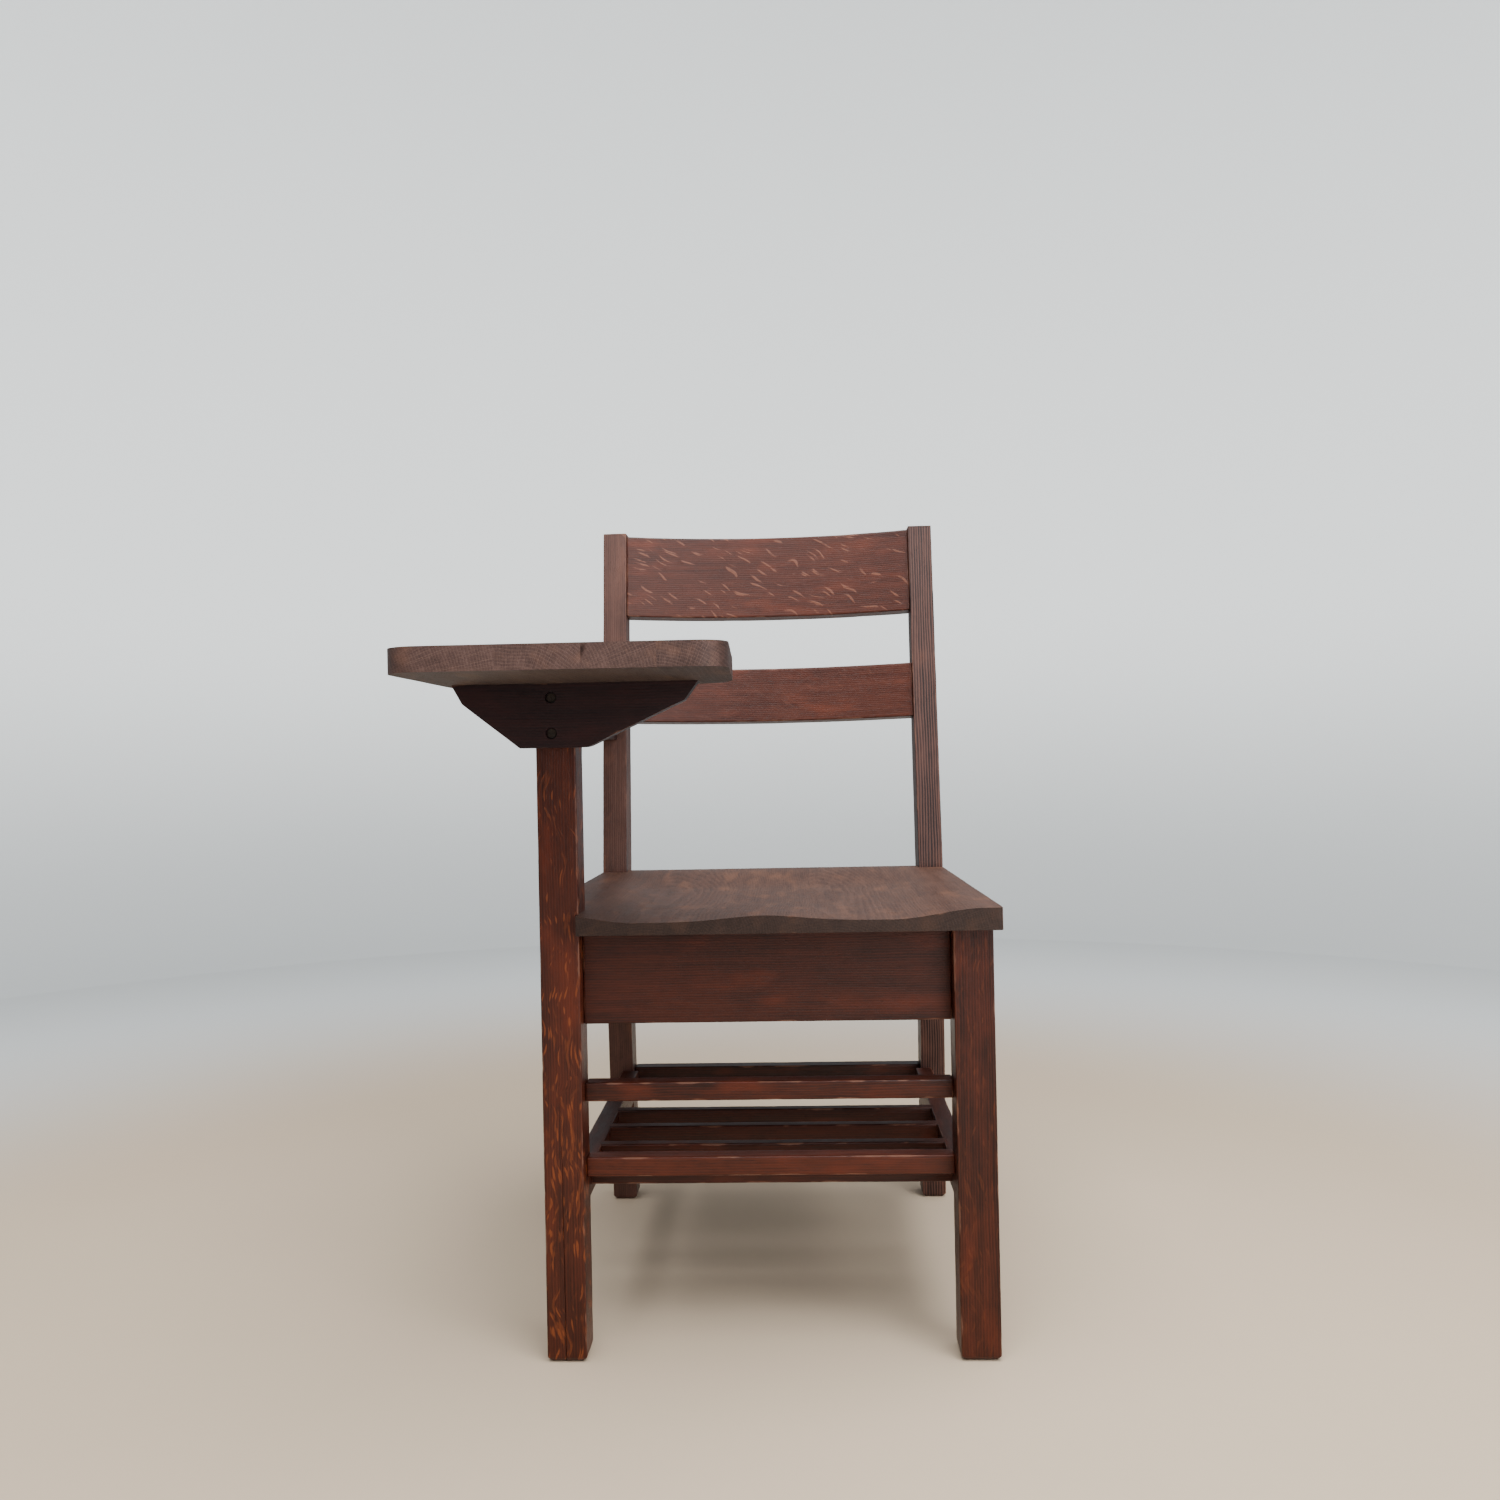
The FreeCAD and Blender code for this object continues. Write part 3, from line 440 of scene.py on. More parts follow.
def steel():
    """Old screws: dull, scratched and brown with tarnish."""
    if "steel" in MATERIALS:
        return MATERIALS["steel"]
    metal = Shader("tarnished_steel")
    at = metal.node("ShaderNodeTexCoord", {}, {}, "Object")
    tarnish = metal.noise(at, (420, 420, 420), 4, 0.7)
    scratch = metal.noise(at, (300, 4200, 900), 2)
    brown = tarnish.step(0.42, 0.66)
    return MATERIALS.setdefault("steel", metal.surface({
        "Base Color": metal.mix(brown, tuple(colours().steel), tuple(colours().tarnish)),
        "Metallic": 1 - brown * 0.6, "Roughness": 0.38 + tarnish * 0.3,
        "Normal": metal.bump(tarnish * 0.6 + scratch * 0.3, 0.3, 0.0003)}))


# ---------------------------------------------------------------- shaping


NEAR = 1e-6       # metres within which two places count as the same
SHARP = 0.4       # radians between two faces, above which their edge counts as an arris
CREASE = 0.6      # radians above which an edge is shaded as a crease
SQUARE = 1.0      # radians above which an edge counts as a square corner
END_FACE = 0.72   # how squarely a face looks along the grain to get the end grain
DOWN_FACE = 0.8   # how squarely a face looks down to get the finish of an underside
CORNER_SEGMENTS = 12

# metres from a piece's end to its first slice, past the rounding there
BAR_MARGIN, POST_MARGIN, PANEL_MARGIN, FOOT_MARGIN = 0.0035, 0.0045, 0.006, 0.0075

# how many times per metre each kind of wear comes and goes
RIPPLE, BROAD, NICK, BITE, FINE, CRUMB = 21, 34, 75, 85, 120, 260
RIPPLE_DEPTH = 0.0001


def everything(bm):
    return bm.verts[:] + bm.edges[:] + bm.faces[:]


def way(axis, length=1.0):
    step = Vector()
    step[axis] = length
    return step


def block(low, high):
    """A square-edged block between two corners."""
    bm = bmesh.new()
    bmesh.ops.create_cube(bm, size=1, matrix=Matrix.Translation((low + high) / 2)
                          @ Matrix.Diagonal((*(high - low), 1)))
    return bm


def prism(outline, low, high, up):
    """A slab with an outline across one axis. An outline point may carry a corner's radius."""
    bm = bmesh.new()
    first, second = [axis for axis in (X, Y, Z) if axis != up]
    corners = []
    for point in outline:
        place = way(up, low)
        place[first], place[second] = point[:2]
        corners.append(bm.verts.new(place))
    base = bm.faces.new(corners)
    grown = bmesh.ops.extrude_face_region(bm, geom=[base], use_keep_orig=True)
    top = [v for v in grown["geom"] if isinstance(v, bmesh.types.BMVert)]
    bmesh.ops.translate(bm, vec=way(up, high - low), verts=top)
    bmesh.ops.recalc_face_normals(bm, faces=bm.faces)
    count = len(outline)
    for number, point in enumerate(outline):
        if len(point) == 3:
            before, after = outline[number - 1], outline[(number + 1) % count]
            into = Vector(point[:2]) - Vector(before[:2])
            out = Vector(after[:2]) - Vector(point[:2])
            tangent = point[2] * math.tan(into.angle(out) / 2)
            edge = next(e for e in bm.edges if corner_edge(e, point, first, second))
            bmesh.ops.bevel(bm, geom=[edge], offset=tangent, segments=CORNER_SEGMENTS,
                            profile=0.5, affect="EDGES", material=-1)
    return bm


def corner_edge(edge, point, first, second):
    """Whether an upright edge of a prism stands at one point of its outline."""
    return all(abs(v.co[first] - point[0]) < NEAR and abs(v.co[second] - point[1]) < NEAR
               for v in edge.verts)


def slices(bm, axis, pitch, margin=BAR_MARGIN, also=()):
    """Slices the piece across one axis: near its ends, evenly between, and where asked."""
    values = [v.co[axis] for v in bm.verts]
    low, high = min(values) + margin, max(values) - margin
    if low >= high:
        return
    count = max(1, round((high - low) / pitch))
    spots = [low + (high - low) * step / count for step in range(count + 1)]
    for spot in sorted([*spots, *also]):
        bmesh.ops.bisect_plane(bm, geom=everything(bm), dist=NEAR, plane_co=way(axis, spot),
                               plane_no=way(axis))


def arrises(bm):
    """The edges where two faces meet at an angle."""
    return [e for e in bm.edges if e.is_manifold and e.calc_face_angle(0) > SHARP]


def round_over(bm, edges, radius, segments=3):
    bmesh.ops.bevel(bm, geom=edges, offset=radius, segments=segments, profile=0.5,
                    affect="EDGES", material=-1, clamp_overlap=True)


def bevel_foot(bm, size):
    """The bevel round a leg's bottom end."""
    low = min(v.co.z for v in bm.verts)
    under = [e for e in bm.edges if all(v.co.z < low + NEAR for v in e.verts)]
    bmesh.ops.bevel(bm, geom=under, offset=size, segments=1, profile=0.5, affect="EDGES",
                    material=-1)


def add_tenons(bm, axis, shoulder, length, ends=(-1, 1)):
    """Draws each end out into a tenon with shoulders all round."""
    for end in ends:
        face = max(bm.faces, key=lambda f: end * f.calc_center_median()[axis])
        bmesh.ops.inset_region(bm, faces=[face], thickness=shoulder, use_even_offset=True)
        grown = bmesh.ops.extrude_discrete_faces(bm, faces=[face])
        bmesh.ops.translate(bm, vec=way(axis, end * length), verts=grown["faces"][0].verts[:])


def wear(bm, depth, seed, chips=0.0, chip_side=None):
    """Wears the arrises unevenly and marks every point with how worn it is."""
    bm.normal_update()
    layer = bm.verts.layers.float.get("wear") or bm.verts.layers.float.new("wear")
    shift = Vector([random.Random(seed).uniform(-9, 9)] * 3)
    moves = []
    for v in bm.verts:
        turn = max((e.calc_face_angle(0) for e in v.link_edges if e.is_manifold), default=0)
        on_edge = min(1.0, turn / SHARP)
        rough = noise.noise(v.co * BROAD + shift) + 0.5 * noise.noise(v.co * FINE + shift)
        nick = max(0.0, noise.noise(v.co * NICK + shift * 3) - 0.38)
        amount = on_edge * depth * (max(0.0, 0.1 + 0.5 * rough) + 2 * nick)
        if chips and chip_side is not None and v.normal.dot(chip_side) > 0.25:
            bite = noise.noise(v.co * BITE + shift) + 0.7 * noise.noise(v.co * CRUMB + shift)
            amount += on_edge * chips * max(0.0, bite - 0.22) * 2
        ripple = RIPPLE_DEPTH * noise.noise(v.co * RIPPLE + shift * 2)
        moves.append((v, v.normal * (ripple - amount)))
        v[layer] = on_edge * min(1.0, max(0.0, 0.40 + rough + 2 * nick))
    ground = min(v.co.z for v in bm.verts)
    for v, move in moves:
        v.co += move
        v.co.z = max(v.co.z, ground)


def set_grain(bm, along, radial, seed, heart=(0.17, 0.012), tint=0.0, figured=0.0):
    """Gives every point its wood coordinates, in a log of the piece's own.

    The tone and shade value lightens or darkens the whole piece, for its own tone and, on the book
    rack's rear rail, as painted shade; `figured` says how strongly its ray flecks show.
    """
    grain = bm.verts.layers.float_vector.new("grain")
    shade = bm.verts.layers.float.new("tint")
    flecked = bm.verts.layers.float.new("figured")
    tangent = ({X, Y, Z} - {along, radial}).pop()
    draw = random.Random(seed)
    start = draw.uniform(0, 6)
    heart = (heart[0] * draw.uniform(0.85, 1.2), heart[1])
    middle = {axis: (min(v.co[axis] for v in bm.verts) + max(v.co[axis] for v in bm.verts)) / 2
              for axis in (radial, tangent)}
    for v in bm.verts:
        v[grain] = (v.co[along] + start, v.co[radial] - middle[radial] + heart[0],
                    v.co[tangent] - middle[tangent] + heart[1])
        v[shade] = tint
        v[flecked] = figured


def shape_by(bm, place):
    """Moves every point to where a function says, such as along a curve."""
    for v in bm.verts:
        v.co = place(v.co)


def give(bm, name, wood, along, nodes=(), under=None):
    """Turns the mesh into a finished piece that stands for its joinery nodes.

    Faces across the grain get the end grain, and faces that look down get `under` if given.
    """
    bmesh.ops.remove_doubles(bm, verts=bm.verts, dist=2 * NEAR)
    bmesh.ops.recalc_face_normals(bm, faces=bm.faces)
    bm.normal_update()
    kinds = [finish(wood), finish(wood, end=True)] + ([finish(under)] if under else [])
    for edge in bm.edges:
        edge.smooth = edge.calc_face_angle(0) < CREASE
    for face in bm.faces:
        face.smooth = True
        face.material_index = 1 if abs(face.normal[along]) > END_FACE else 0
        if under and face.normal.z < -DOWN_FACE:
            face.material_index = 2
    mesh = bpy.data.meshes.new(name)
    bm.to_mesh(mesh)
    bm.free()
    for kind in kinds:
        mesh.materials.append(kind)
    return settle(bpy.data.objects.new(name, mesh), nodes)


def settle(piece, nodes):
    """Puts a finished piece in the scene, on the chair's one body."""
    bpy.context.scene.collection.objects.link(piece)
    weighted = piece.modifiers.new("flat faces", "WEIGHTED_NORMAL")
    weighted.weight = 80
    weighted.keep_sharp = True
    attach(piece, "root")
    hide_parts(*nodes)
    return piece


def bar(name, low, high, along, radial, wood, tenons=True, place=None,
        heart=(0.17, 0.012), tint=0.0, figured=0.0, lengthen=None):
    """A straight bar of wood with tenons and worn arrises, laid along a curve if asked."""
    size = sizes()
    bm = block(low, high)
    if lengthen:
        lengthen(bm)
    if tenons:
        add_tenons(bm, along, size.shoulder, size.tenon)
    for axis in (X, Y, Z):
        slices(bm, axis, size.slice_length if axis == along else 2 * size.slice_length)
    round_over(bm, arrises(bm), size.arris)
    wear(bm, size.edge_wear, name)
    set_grain(bm, along, radial, name, heart, tint, figured)
    if place:
        shape_by(bm, place)
    return give(bm, name, wood, along, [name])


# ---------------------------------------------------------------- measures from the frame


def corners(node):
    """The low and high corner of a joinery node's box."""
    return tuple(Vector(corner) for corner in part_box(node))


KNEE_EASE = 0.0007      # metres taken off the post's back right at the knee


class RearPost:
    """The side view of a rear post, read from its joinery solid."""

    def __init__(self):
        points = [v.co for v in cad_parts["rear_post_left"].data.vertices]
        self.top = max(point.z for point in points)
        foot = [point.y for point in points if point.z < NEAR]
        head = [point.y for point in points if point.z > self.top - NEAR]
        self.foot = (min(foot), max(foot) - min(foot))
        self.head = (min(head), max(head) - min(head))
        knee = min(points, key=lambda point: point.y)
        self.knee, self.knee_height = knee.y, max(
            point.z for point in points if point.y < knee.y + NEAR)

    def share(self, z):
        """How far a height lies from the knee to the top."""
        return (z - self.knee_height) / (self.top - self.knee_height)

    def front(self, z):
        if z < self.knee_height:
            return self.foot[0] + (self.knee - self.foot[0]) * z / self.knee_height
        return self.knee + (self.head[0] - self.knee) * self.share(z)

    def depth(self, z):
        thick, blend = sizes().knee_depth, sizes().knee_blend
        eased = max(0.0, 1 - abs(z - self.knee_height) / blend) ** 2 * KNEE_EASE
        if z < self.knee_height:
            return self.foot[1] + (thick - self.foot[1]) * z / self.knee_height - eased
        return thick + (self.head[1] - thick) * self.share(z) - eased

    def rake(self):
        return math.atan((self.head[0] - self.knee) / (self.top - self.knee_height))


POST = RearPost()
POST_LEFT, POST_RIGHT = corners("rear_post_left"), corners("rear_post_right")
MIDDLE = (POST_LEFT[0].x + POST_RIGHT[1].x) / 2
TABLET_POST = corners("tablet_post")


def shoulders(node, axis):
    """A rail's box without its tenons."""
    low, high = corners(node)
    return low + way(axis, sizes().tenon), high - way(axis, sizes().tenon)


# ---------------------------------------------------------------- pieces


CHECK_DEPTH = 0.0034      # metres into the post
CHECK_REACH = 0.003       # metres behind the front face that still count as that face


class SchoolChairLegs(bpy.types.Operator):
    """Builds the front leg and the tall post that carries the tablet"""
    bl_idname = "school_chair.legs"
    bl_label = "Front Legs"

    def execute(self, context):
        size = sizes()
        for name, split in (("tablet_post", True), ("front_leg", False)):
            low, high = corners(name)
            bm = block(low, high)
            bevel_foot(bm, size.foot_bevel)
            line = (low.x + high.x) / 2 - 0.0005
            seam = (line - size.check_width, line, line + size.check_width) if split else ()
            slices(bm, X, 2 * size.slice_length, also=seam)
            slices(bm, Y, 2 * size.slice_length)
            slices(bm, Z, size.slice_length, margin=FOOT_MARGIN)
            round_over(bm, arrises(bm), size.arris)
            wear(bm, size.edge_wear, name)
            set_grain(bm, Z, X, name, tint=0.06 if split else -0.2,
                      figured=1.0 if split else 0.22)
            if split:
                self.open_check(bm, line, low)
            give(bm, name, "frame", Z, [name])
        return {"FINISHED"}

    def open_check(self, bm, line, low):
        """A drying check that runs up the front face from the foot."""
        size = sizes()
        for v in bm.verts:
            aside = v.co.x - line
            if (v.co.y > low.y + CHECK_REACH or v.co.z > size.check_height
                    or abs(aside) >= 1.5 * size.check_width):
                continue
            height = v.co.z / size.check_height
            fade = min(1.0, (1 - height) * 2.2)
            drift = 0.0016 * noise.noise(Vector((0, 0, v.co.z * 26))) - 0.0012 * height
            width = 0.45 * fade * (1 + 0.5 * noise.noise(Vector((3, 0, v.co.z * 60))))
            v.co.x = line + aside * width + drift
            if abs(aside) < 0.5 * size.check_width:
                v.co.y += CHECK_DEPTH * fade


class SchoolChairRearPosts(bpy.types.Operator):
    """Builds the rear posts, sawn to a knee at the seat"""
    bl_idname = "school_chair.rear_posts"
    bl_label = "Rear Posts"

    def execute(self, context):
        size = sizes()
        thick = size.knee_depth
        for name, wood, radial, heart, tint in (
                ("rear_post_left", "grey", X, (0.19, 0.015), 0.2),
                ("rear_post_right", "plain", Y, (0.022, 0.045), 0.1)):
            low, high = corners(name)
            bm = block(Vector((low.x, 0, 0)), Vector((high.x, thick, POST.top)))
            bevel_foot(bm, size.foot_bevel)
            slices(bm, X, 2 * size.slice_length)
            slices(bm, Y, 2 * size.slice_length, margin=POST_MARGIN)
            slices(bm, Z, size.slice_length, margin=FOOT_MARGIN)
            round_over(bm, arrises(bm), size.arris)
            wear(bm, size.edge_wear, name)
            set_grain(bm, Z, radial, name, heart, tint, 0.15)
            shape_by(bm, lambda p: Vector((p.x, POST.front(p.z) + p.y / thick
                                           * POST.depth(p.z), p.z)))
            give(bm, name, wood, Z, [name])
        return {"FINISHED"}


class SchoolChairBackRails(bpy.types.Operator):
    """Builds the crest rail and the lower back rail, hollow towards the sitter"""
    bl_idname = "school_chair.back_rails"
    bl_label = "Back Rails"

    def execute(self, context):
        size = sizes()
        half = POST_RIGHT[0].x - MIDDLE
        rake = POST.rake()
        lean = Matrix.Rotation(-rake, 4, "X")
        bend = (half ** 2 + size.rail_bow ** 2) / (2 * size.rail_bow)

        for name, tint, figured in (("crest_rail", 0.08, 1.0), ("lower_back_rail", 0.12, 0.12)):
            low, high = corners(name)
            bottom = low.z + (size.rail_bow + size.rail_thick) * math.sin(rake)
            height = (high.z - bottom) / math.cos(rake)
            start = Vector((MIDDLE, POST.front(bottom) + size.rail_recess, bottom))

            def on_curve(p):
                reach = min(abs(p.x), half)
                back = size.rail_bow - bend + math.sqrt((bend + p.y) ** 2 - reach ** 2)
                return start + lean @ Vector((p.x, back, p.z))

            bar(name, Vector((-half, 0, 0)), Vector((half, size.rail_thick, height)), X, Z,
                "back", place=on_curve, heart=(0.14, 0.01), tint=tint,
                figured=figured)
        return {"FINISHED"}


class SchoolChairSeatFrame(bpy.types.Operator):
    """Builds the aprons under the seat and the stretcher between the front legs"""
    bl_idname = "school_chair.seat_frame"
    bl_label = "Seat Frame"

    def execute(self, context):
        for name, wood, tint in (("front_apron", "apron", 0.0), ("rear_apron", "apron", 0.0),
                                 ("front_stretcher", "frame", -0.3)):
            low, high = shoulders(name, X)
            bar(name, low, high, X, Z, wood, tint=tint)
        for name in ("side_apron_left", "side_apron_right"):
            low, high = shoulders(name, Y)
            bar(name, low, high, Y, Z, "apron", lengthen=to_rear_post)
        return {"FINISHED"}


def to_rear_post(bm):
    """Brings a side rail's front end to the leg and saws its rear end to the rear post's rake."""
    middle = sum(v.co.y for v in bm.verts) / len(bm.verts)
    for v in bm.verts:
        v.co.y = POST.front(v.co.z) if v.co.y > middle else TABLET_POST[1].y


class SchoolChairBookRack(bpy.types.Operator):
    """Builds the book rack: four rails and the slats let into its side rails"""
    bl_idname = "school_chair.book_rack"
    bl_label = "Book Rack"

    def execute(self, context):
        # the rear rail's value of -0.6 is painted shade: it darkens the rail where it lies in shade
        # under the seat
        for name, tint in (("rack_front_rail", 0.4), ("rack_rear_rail", -0.6)):
            low, high = shoulders(name, X)
            bar(name, low, high, X, Z, "frame", tint=tint)
        for name in ("rack_side_rail_left", "rack_side_rail_right"):
            low, high = shoulders(name, Y)
            bar(name, low, high, Y, Z, "apron", lengthen=to_rear_post, tint=0.1)
        for name in sorted(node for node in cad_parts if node.startswith("rack_slat_")):
            low, high = corners(name)
            bar(name, low, high, X, Z, "apron", tenons=False, tint=-0.15)
        return {"FINISHED"}


def smooth(amount):
    """A smooth step from 0 to 1."""
    amount = min(max(amount, 0.0), 1.0)
    return amount * amount * (3 - 2 * amount)


def seat_dip(x, y):
    """How far the saddled top lies below the rim, from the seat's middle and front edge."""
    size = sizes()
    front = corners("seat_board_3")[0].y
    rise_end = POST.knee - front + size.back_rim
    across = smooth((size.hollow_half - abs(x)) / size.hollow_ramp)
    deep = size.hollow + size.hollow_gain * smooth(y / size.hollow_run)
    deep *= 1 - smooth((y - rise_end + size.back_rise) / size.back_rise)
    rise = size.pommel * math.exp(-(x / size.pommel_spread) ** 2)
    return across * (deep - rise * (1 - smooth(y / size.pommel_run)))


def saw_boards(bm, names, wood, tints, under=None):
    """Saws a finished panel into its boards and gives each its own log."""
    size = sizes()
    for number, name in enumerate(names):
        low, high = corners(name)
        board = bm.copy()
        lines = []
        if number > 0:
            lines.append((low.x, -1))
        if number < len(names) - 1:
            lines.append((high.x, 1))
        for line, side in lines:
            bmesh.ops.bisect_plane(board, geom=everything(board), dist=NEAR,
                                   plane_co=way(X, line), plane_no=way(X, side),
                                   clear_outer=True)
            rim = [e for e in board.edges if e.is_boundary]
            bmesh.ops.holes_fill(board, edges=rim)
            seam = [e for e in board.edges if e.is_manifold and e.calc_face_angle(0) > SQUARE
                    and all(abs(v.co.x - line) < NEAR for v in e.verts)]
            round_over(board, seam, size.glue_line, 2)
        set_grain(board, Y, Z if number % 2 else X, name, (0.09, 0.03), tints[number])
        give(board, name, wood, Y, [name], under)
    bm.free()


class SchoolChairSeat(bpy.types.Operator):
    """Builds the seat, glued up from boards and hollowed out"""
    bl_idname = "school_chair.seat"
    bl_label = "Saddled Seat"

    def execute(self, context):
        size = sizes()
        names = ["seat_board_%d" % number for number in range(1, 6)]
        first, last = corners(names[0]), corners(names[-1])
        front, rear = first[0].y, corners(names[2])[1].y
        inner = TABLET_POST[1]
        outline = [
            (inner.x, front), (last[1].x, front, size.seat_corner), (POST_RIGHT[1].x, POST.knee),
            (POST_RIGHT[0].x, POST.knee), (POST_RIGHT[0].x, rear), (POST_LEFT[1].x, rear),
            (POST_LEFT[1].x, POST.knee), (POST_LEFT[0].x, POST.knee), (first[0].x, inner.y),
            (inner.x, inner.y)]
        rim = corners("tablet_post")[0].z + POST.knee_height
        under = first[0].z
        bm = prism(outline, under, rim, Z)
        for axis in (X, Y, Z):
            slices(bm, axis, size.slice_length, margin=PANEL_MARGIN)
        for v in bm.verts:
            share = max(0.0, (v.co.z - under) / (rim - under))
            v.co.z -= share * seat_dip(v.co.x - MIDDLE, v.co.y - front)
        round_over(bm, [e for e in arrises(bm) if e.calc_face_angle(0) > SQUARE], size.seat_edge, 4)
        wear(bm, 1.2 * size.edge_wear, "seat")
        saw_boards(bm, names, "seat", (-0.12, 0.05, -0.05, 0.12, 0.18))
        return {"FINISHED"}


class SchoolChairTablet(bpy.types.Operator):
    """Builds the writing tablet with its arm rest, glued up from boards"""
    bl_idname = "school_chair.tablet"
    bl_label = "Writing Tablet"

    def execute(self, context):
        size = sizes()
        names = ["tablet_board_%d" % number for number in range(1, 5)]
        outer, inner = corners(names[0]), corners(names[-1])
        rail = corners("arm_rail")
        front, end = corners(names[1])[0].y, outer[1].y
        widest = outer[0].x - size.outer_over
        free = inner[1].x + size.inner_over
        arm_inner = rail[1].x + size.arm_inside
        outline = [
            (widest + size.outer_taper, front, size.outer_corner),
            (free, front, size.inner_corner),
            (free - size.inner_taper, inner[1].y, size.elbow_corner),
            (arm_inner + size.arm_flare, inner[1].y, size.elbow_hollow),
            (arm_inner, end), (rail[0].x - size.arm_outside, end, size.arm_corner),
            (widest, (POST.knee + TABLET_POST[0].y) / 2, size.outer_sweep)]
        under, top = outer[0].z, outer[1].z
        bm = prism(outline, under, top, Z)
        for axis in (X, Y, Z):
            slices(bm, axis, size.slice_length, margin=PANEL_MARGIN)
        rims = [e for e in arrises(bm) if e.calc_face_angle(0) > SQUARE]
        round_over(bm, rims, size.tablet_edge, 4)
        wear(bm, size.edge_wear, "tablet", size.tablet_chips, -way(Z))
        saw_boards(bm, names, "tablet", (0.05, 0.12, 0.0, -0.42), "under")
        return {"FINISHED"}


class SchoolChairTabletSupport(bpy.types.Operator):
    """Builds the bracket across the post and the rail under the arm rest"""
    bl_idname = "school_chair.tablet_support"
    bl_label = "Tablet Support"

    def execute(self, context):
        size = sizes()
        low, high = corners("tablet_bracket")
        lip = high.z - size.bracket_lip
        outline = [
            (low.x, high.z), (low.x + size.lip_outer, lip), (low.x + size.toe_outer, low.z),
            (high.x - size.toe_inner, low.z, size.toe_round), (high.x - size.lip_inner, lip),
            (high.x, high.z)]
        bm = prism(outline, low.y, high.y, Y)
        for axis in (X, Y, Z):
            slices(bm, axis, size.slice_length)
        round_over(bm, arrises(bm), size.bracket_arris)
        wear(bm, 0.5 * size.edge_wear, "tablet_bracket")
        self.bore(bm, low.y)
        set_grain(bm, X, Z, "tablet_bracket", (0.15, 0.02))
        give(bm, "tablet_bracket", "bracket", X, ["tablet_bracket"])

        low, high = corners("arm_rail")

        def meet_post(bm):
            for v in bm.verts:
                if v.co.y > (low.y + high.y) / 2:
                    v.co.y = POST.front(v.co.z)

        bar("arm_rail", low, high, Y, Z, "bracket", tenons=False,
            lengthen=meet_post, tint=0.2)
        return {"FINISHED"}

    def bore(self, bm, face):
        """Holes in the bracket's face that its screws sit in."""
        size = sizes()
        held = bpy.data.meshes.new("bracket_blank")
        bm.to_mesh(held)
        blank = bpy.data.objects.new("bracket_blank", held)
        bpy.context.scene.collection.objects.link(blank)
        drills = []
        for number, centre in enumerate(screw_centres()):
            drill = bmesh.new()
            turn = Matrix.Rotation(math.pi / 2, 4, "X")
            bmesh.ops.create_cone(
                drill, cap_ends=True, segments=40, radius1=size.recess_radius,
                radius2=size.recess_radius, depth=2 * size.recess_depth,
                matrix=Matrix.Translation((centre[0], face, centre[1])) @ turn)
            tool = bpy.data.objects.new("drill_%d" % number, bpy.data.meshes.new("drill"))
            drill.to_mesh(tool.data)
            drill.free()
            bpy.context.scene.collection.objects.link(tool)
            cut = blank.modifiers.new("bore", "BOOLEAN")
            cut.object = tool
            cut.solver = "EXACT"
            drills.append(tool)
        shown = blank.evaluated_get(bpy.context.evaluated_depsgraph_get())
        bored = bpy.data.meshes.new_from_object(shown)
        bm.clear()
        bm.from_mesh(bored)
        for tool in [blank, *drills]:
            bpy.data.objects.remove(tool)


def screw_centres():
    """Where the bracket's screws go in, as X and Z."""
    low, high = corners("bracket_screws")
    head = sizes().head_radius
    across = (low.x + high.x) / 2
    return [(across, high.z - head), (across, low.z + head)]


SLOT_TURNS = (0.35, 1.45)       # radians, for the upper and the lower screw


class SchoolChairFittings(bpy.types.Operator):
    """Builds the bracket's slotted screws and finishes the fittings under the seat"""
    bl_idname = "school_chair.fittings"
    bl_label = "Screws and Corner Blocks"

    def execute(self, context):
        size = sizes()
        face = corners("tablet_bracket")[0].y + size.recess_depth
        heads = bmesh.new()
        for number, (x, z) in enumerate(screw_centres()):
            self.slotted_head(heads, Vector((x, face, z)), SLOT_TURNS[number])
        bmesh.ops.recalc_face_normals(heads, faces=heads.faces)
        mesh = bpy.data.meshes.new("bracket_screws")
        heads.to_mesh(mesh)
        heads.free()
        mesh.materials.append(steel())
        settle(bpy.data.objects.new("bracket_screws", mesh), ["bracket_screws"])
        for node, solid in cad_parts.items():
            screws = node.endswith("screws")
            if screws or node.startswith("corner_block"):
                solid.data.materials.clear()
                solid.data.materials.append(steel() if screws else finish_block())
        return {"FINISHED"}

    def slotted_head(self, heads, centre, turn):
        """A flat head with a slot, its shank running back into the post."""
        head = bmesh.new()
        size = sizes()
        slot = size.slot_half
        bmesh.ops.create_cone(head, cap_ends=True, segments=32, radius1=size.head_radius,
                              radius2=size.head_radius, depth=size.head_height)
        for side in (-slot, slot):
            bmesh.ops.bisect_plane(head, geom=everything(head), dist=NEAR,
                                   plane_co=way(X, side), plane_no=way(X))
        groove = [f for f in head.faces if f.normal.z > 0.9
                  and abs(f.calc_center_median().x) < slot]
        sunk = bmesh.ops.extrude_face_region(head, geom=groove)
        bmesh.ops.delete(head, geom=groove, context="FACES_ONLY")
        bmesh.ops.translate(head, vec=way(Z, -size.slot_depth),
                            verts=[v for v in sunk["geom"] if isinstance(v, bmesh.types.BMVert)])
        bmesh.ops.create_cone(head, cap_ends=True, segments=20,
                              radius1=size.shank_tip, radius2=size.shank_root,
                              depth=size.shank_length, matrix=Matrix.Translation(
                                  way(Z, -size.shank_start - size.shank_length / 2)))
        stand = Matrix.Translation(centre) @ Matrix.Rotation(math.pi / 2, 4, "X")
        bmesh.ops.transform(head, verts=head.verts,
                            matrix=stand @ Matrix.Rotation(turn, 4, "Z"))
        bring = bpy.data.meshes.new("head")
        head.to_mesh(bring)
        head.free()
        heads.from_mesh(bring)
        bpy.data.meshes.remove(bring)


# ---------------------------------------------------------------- stage


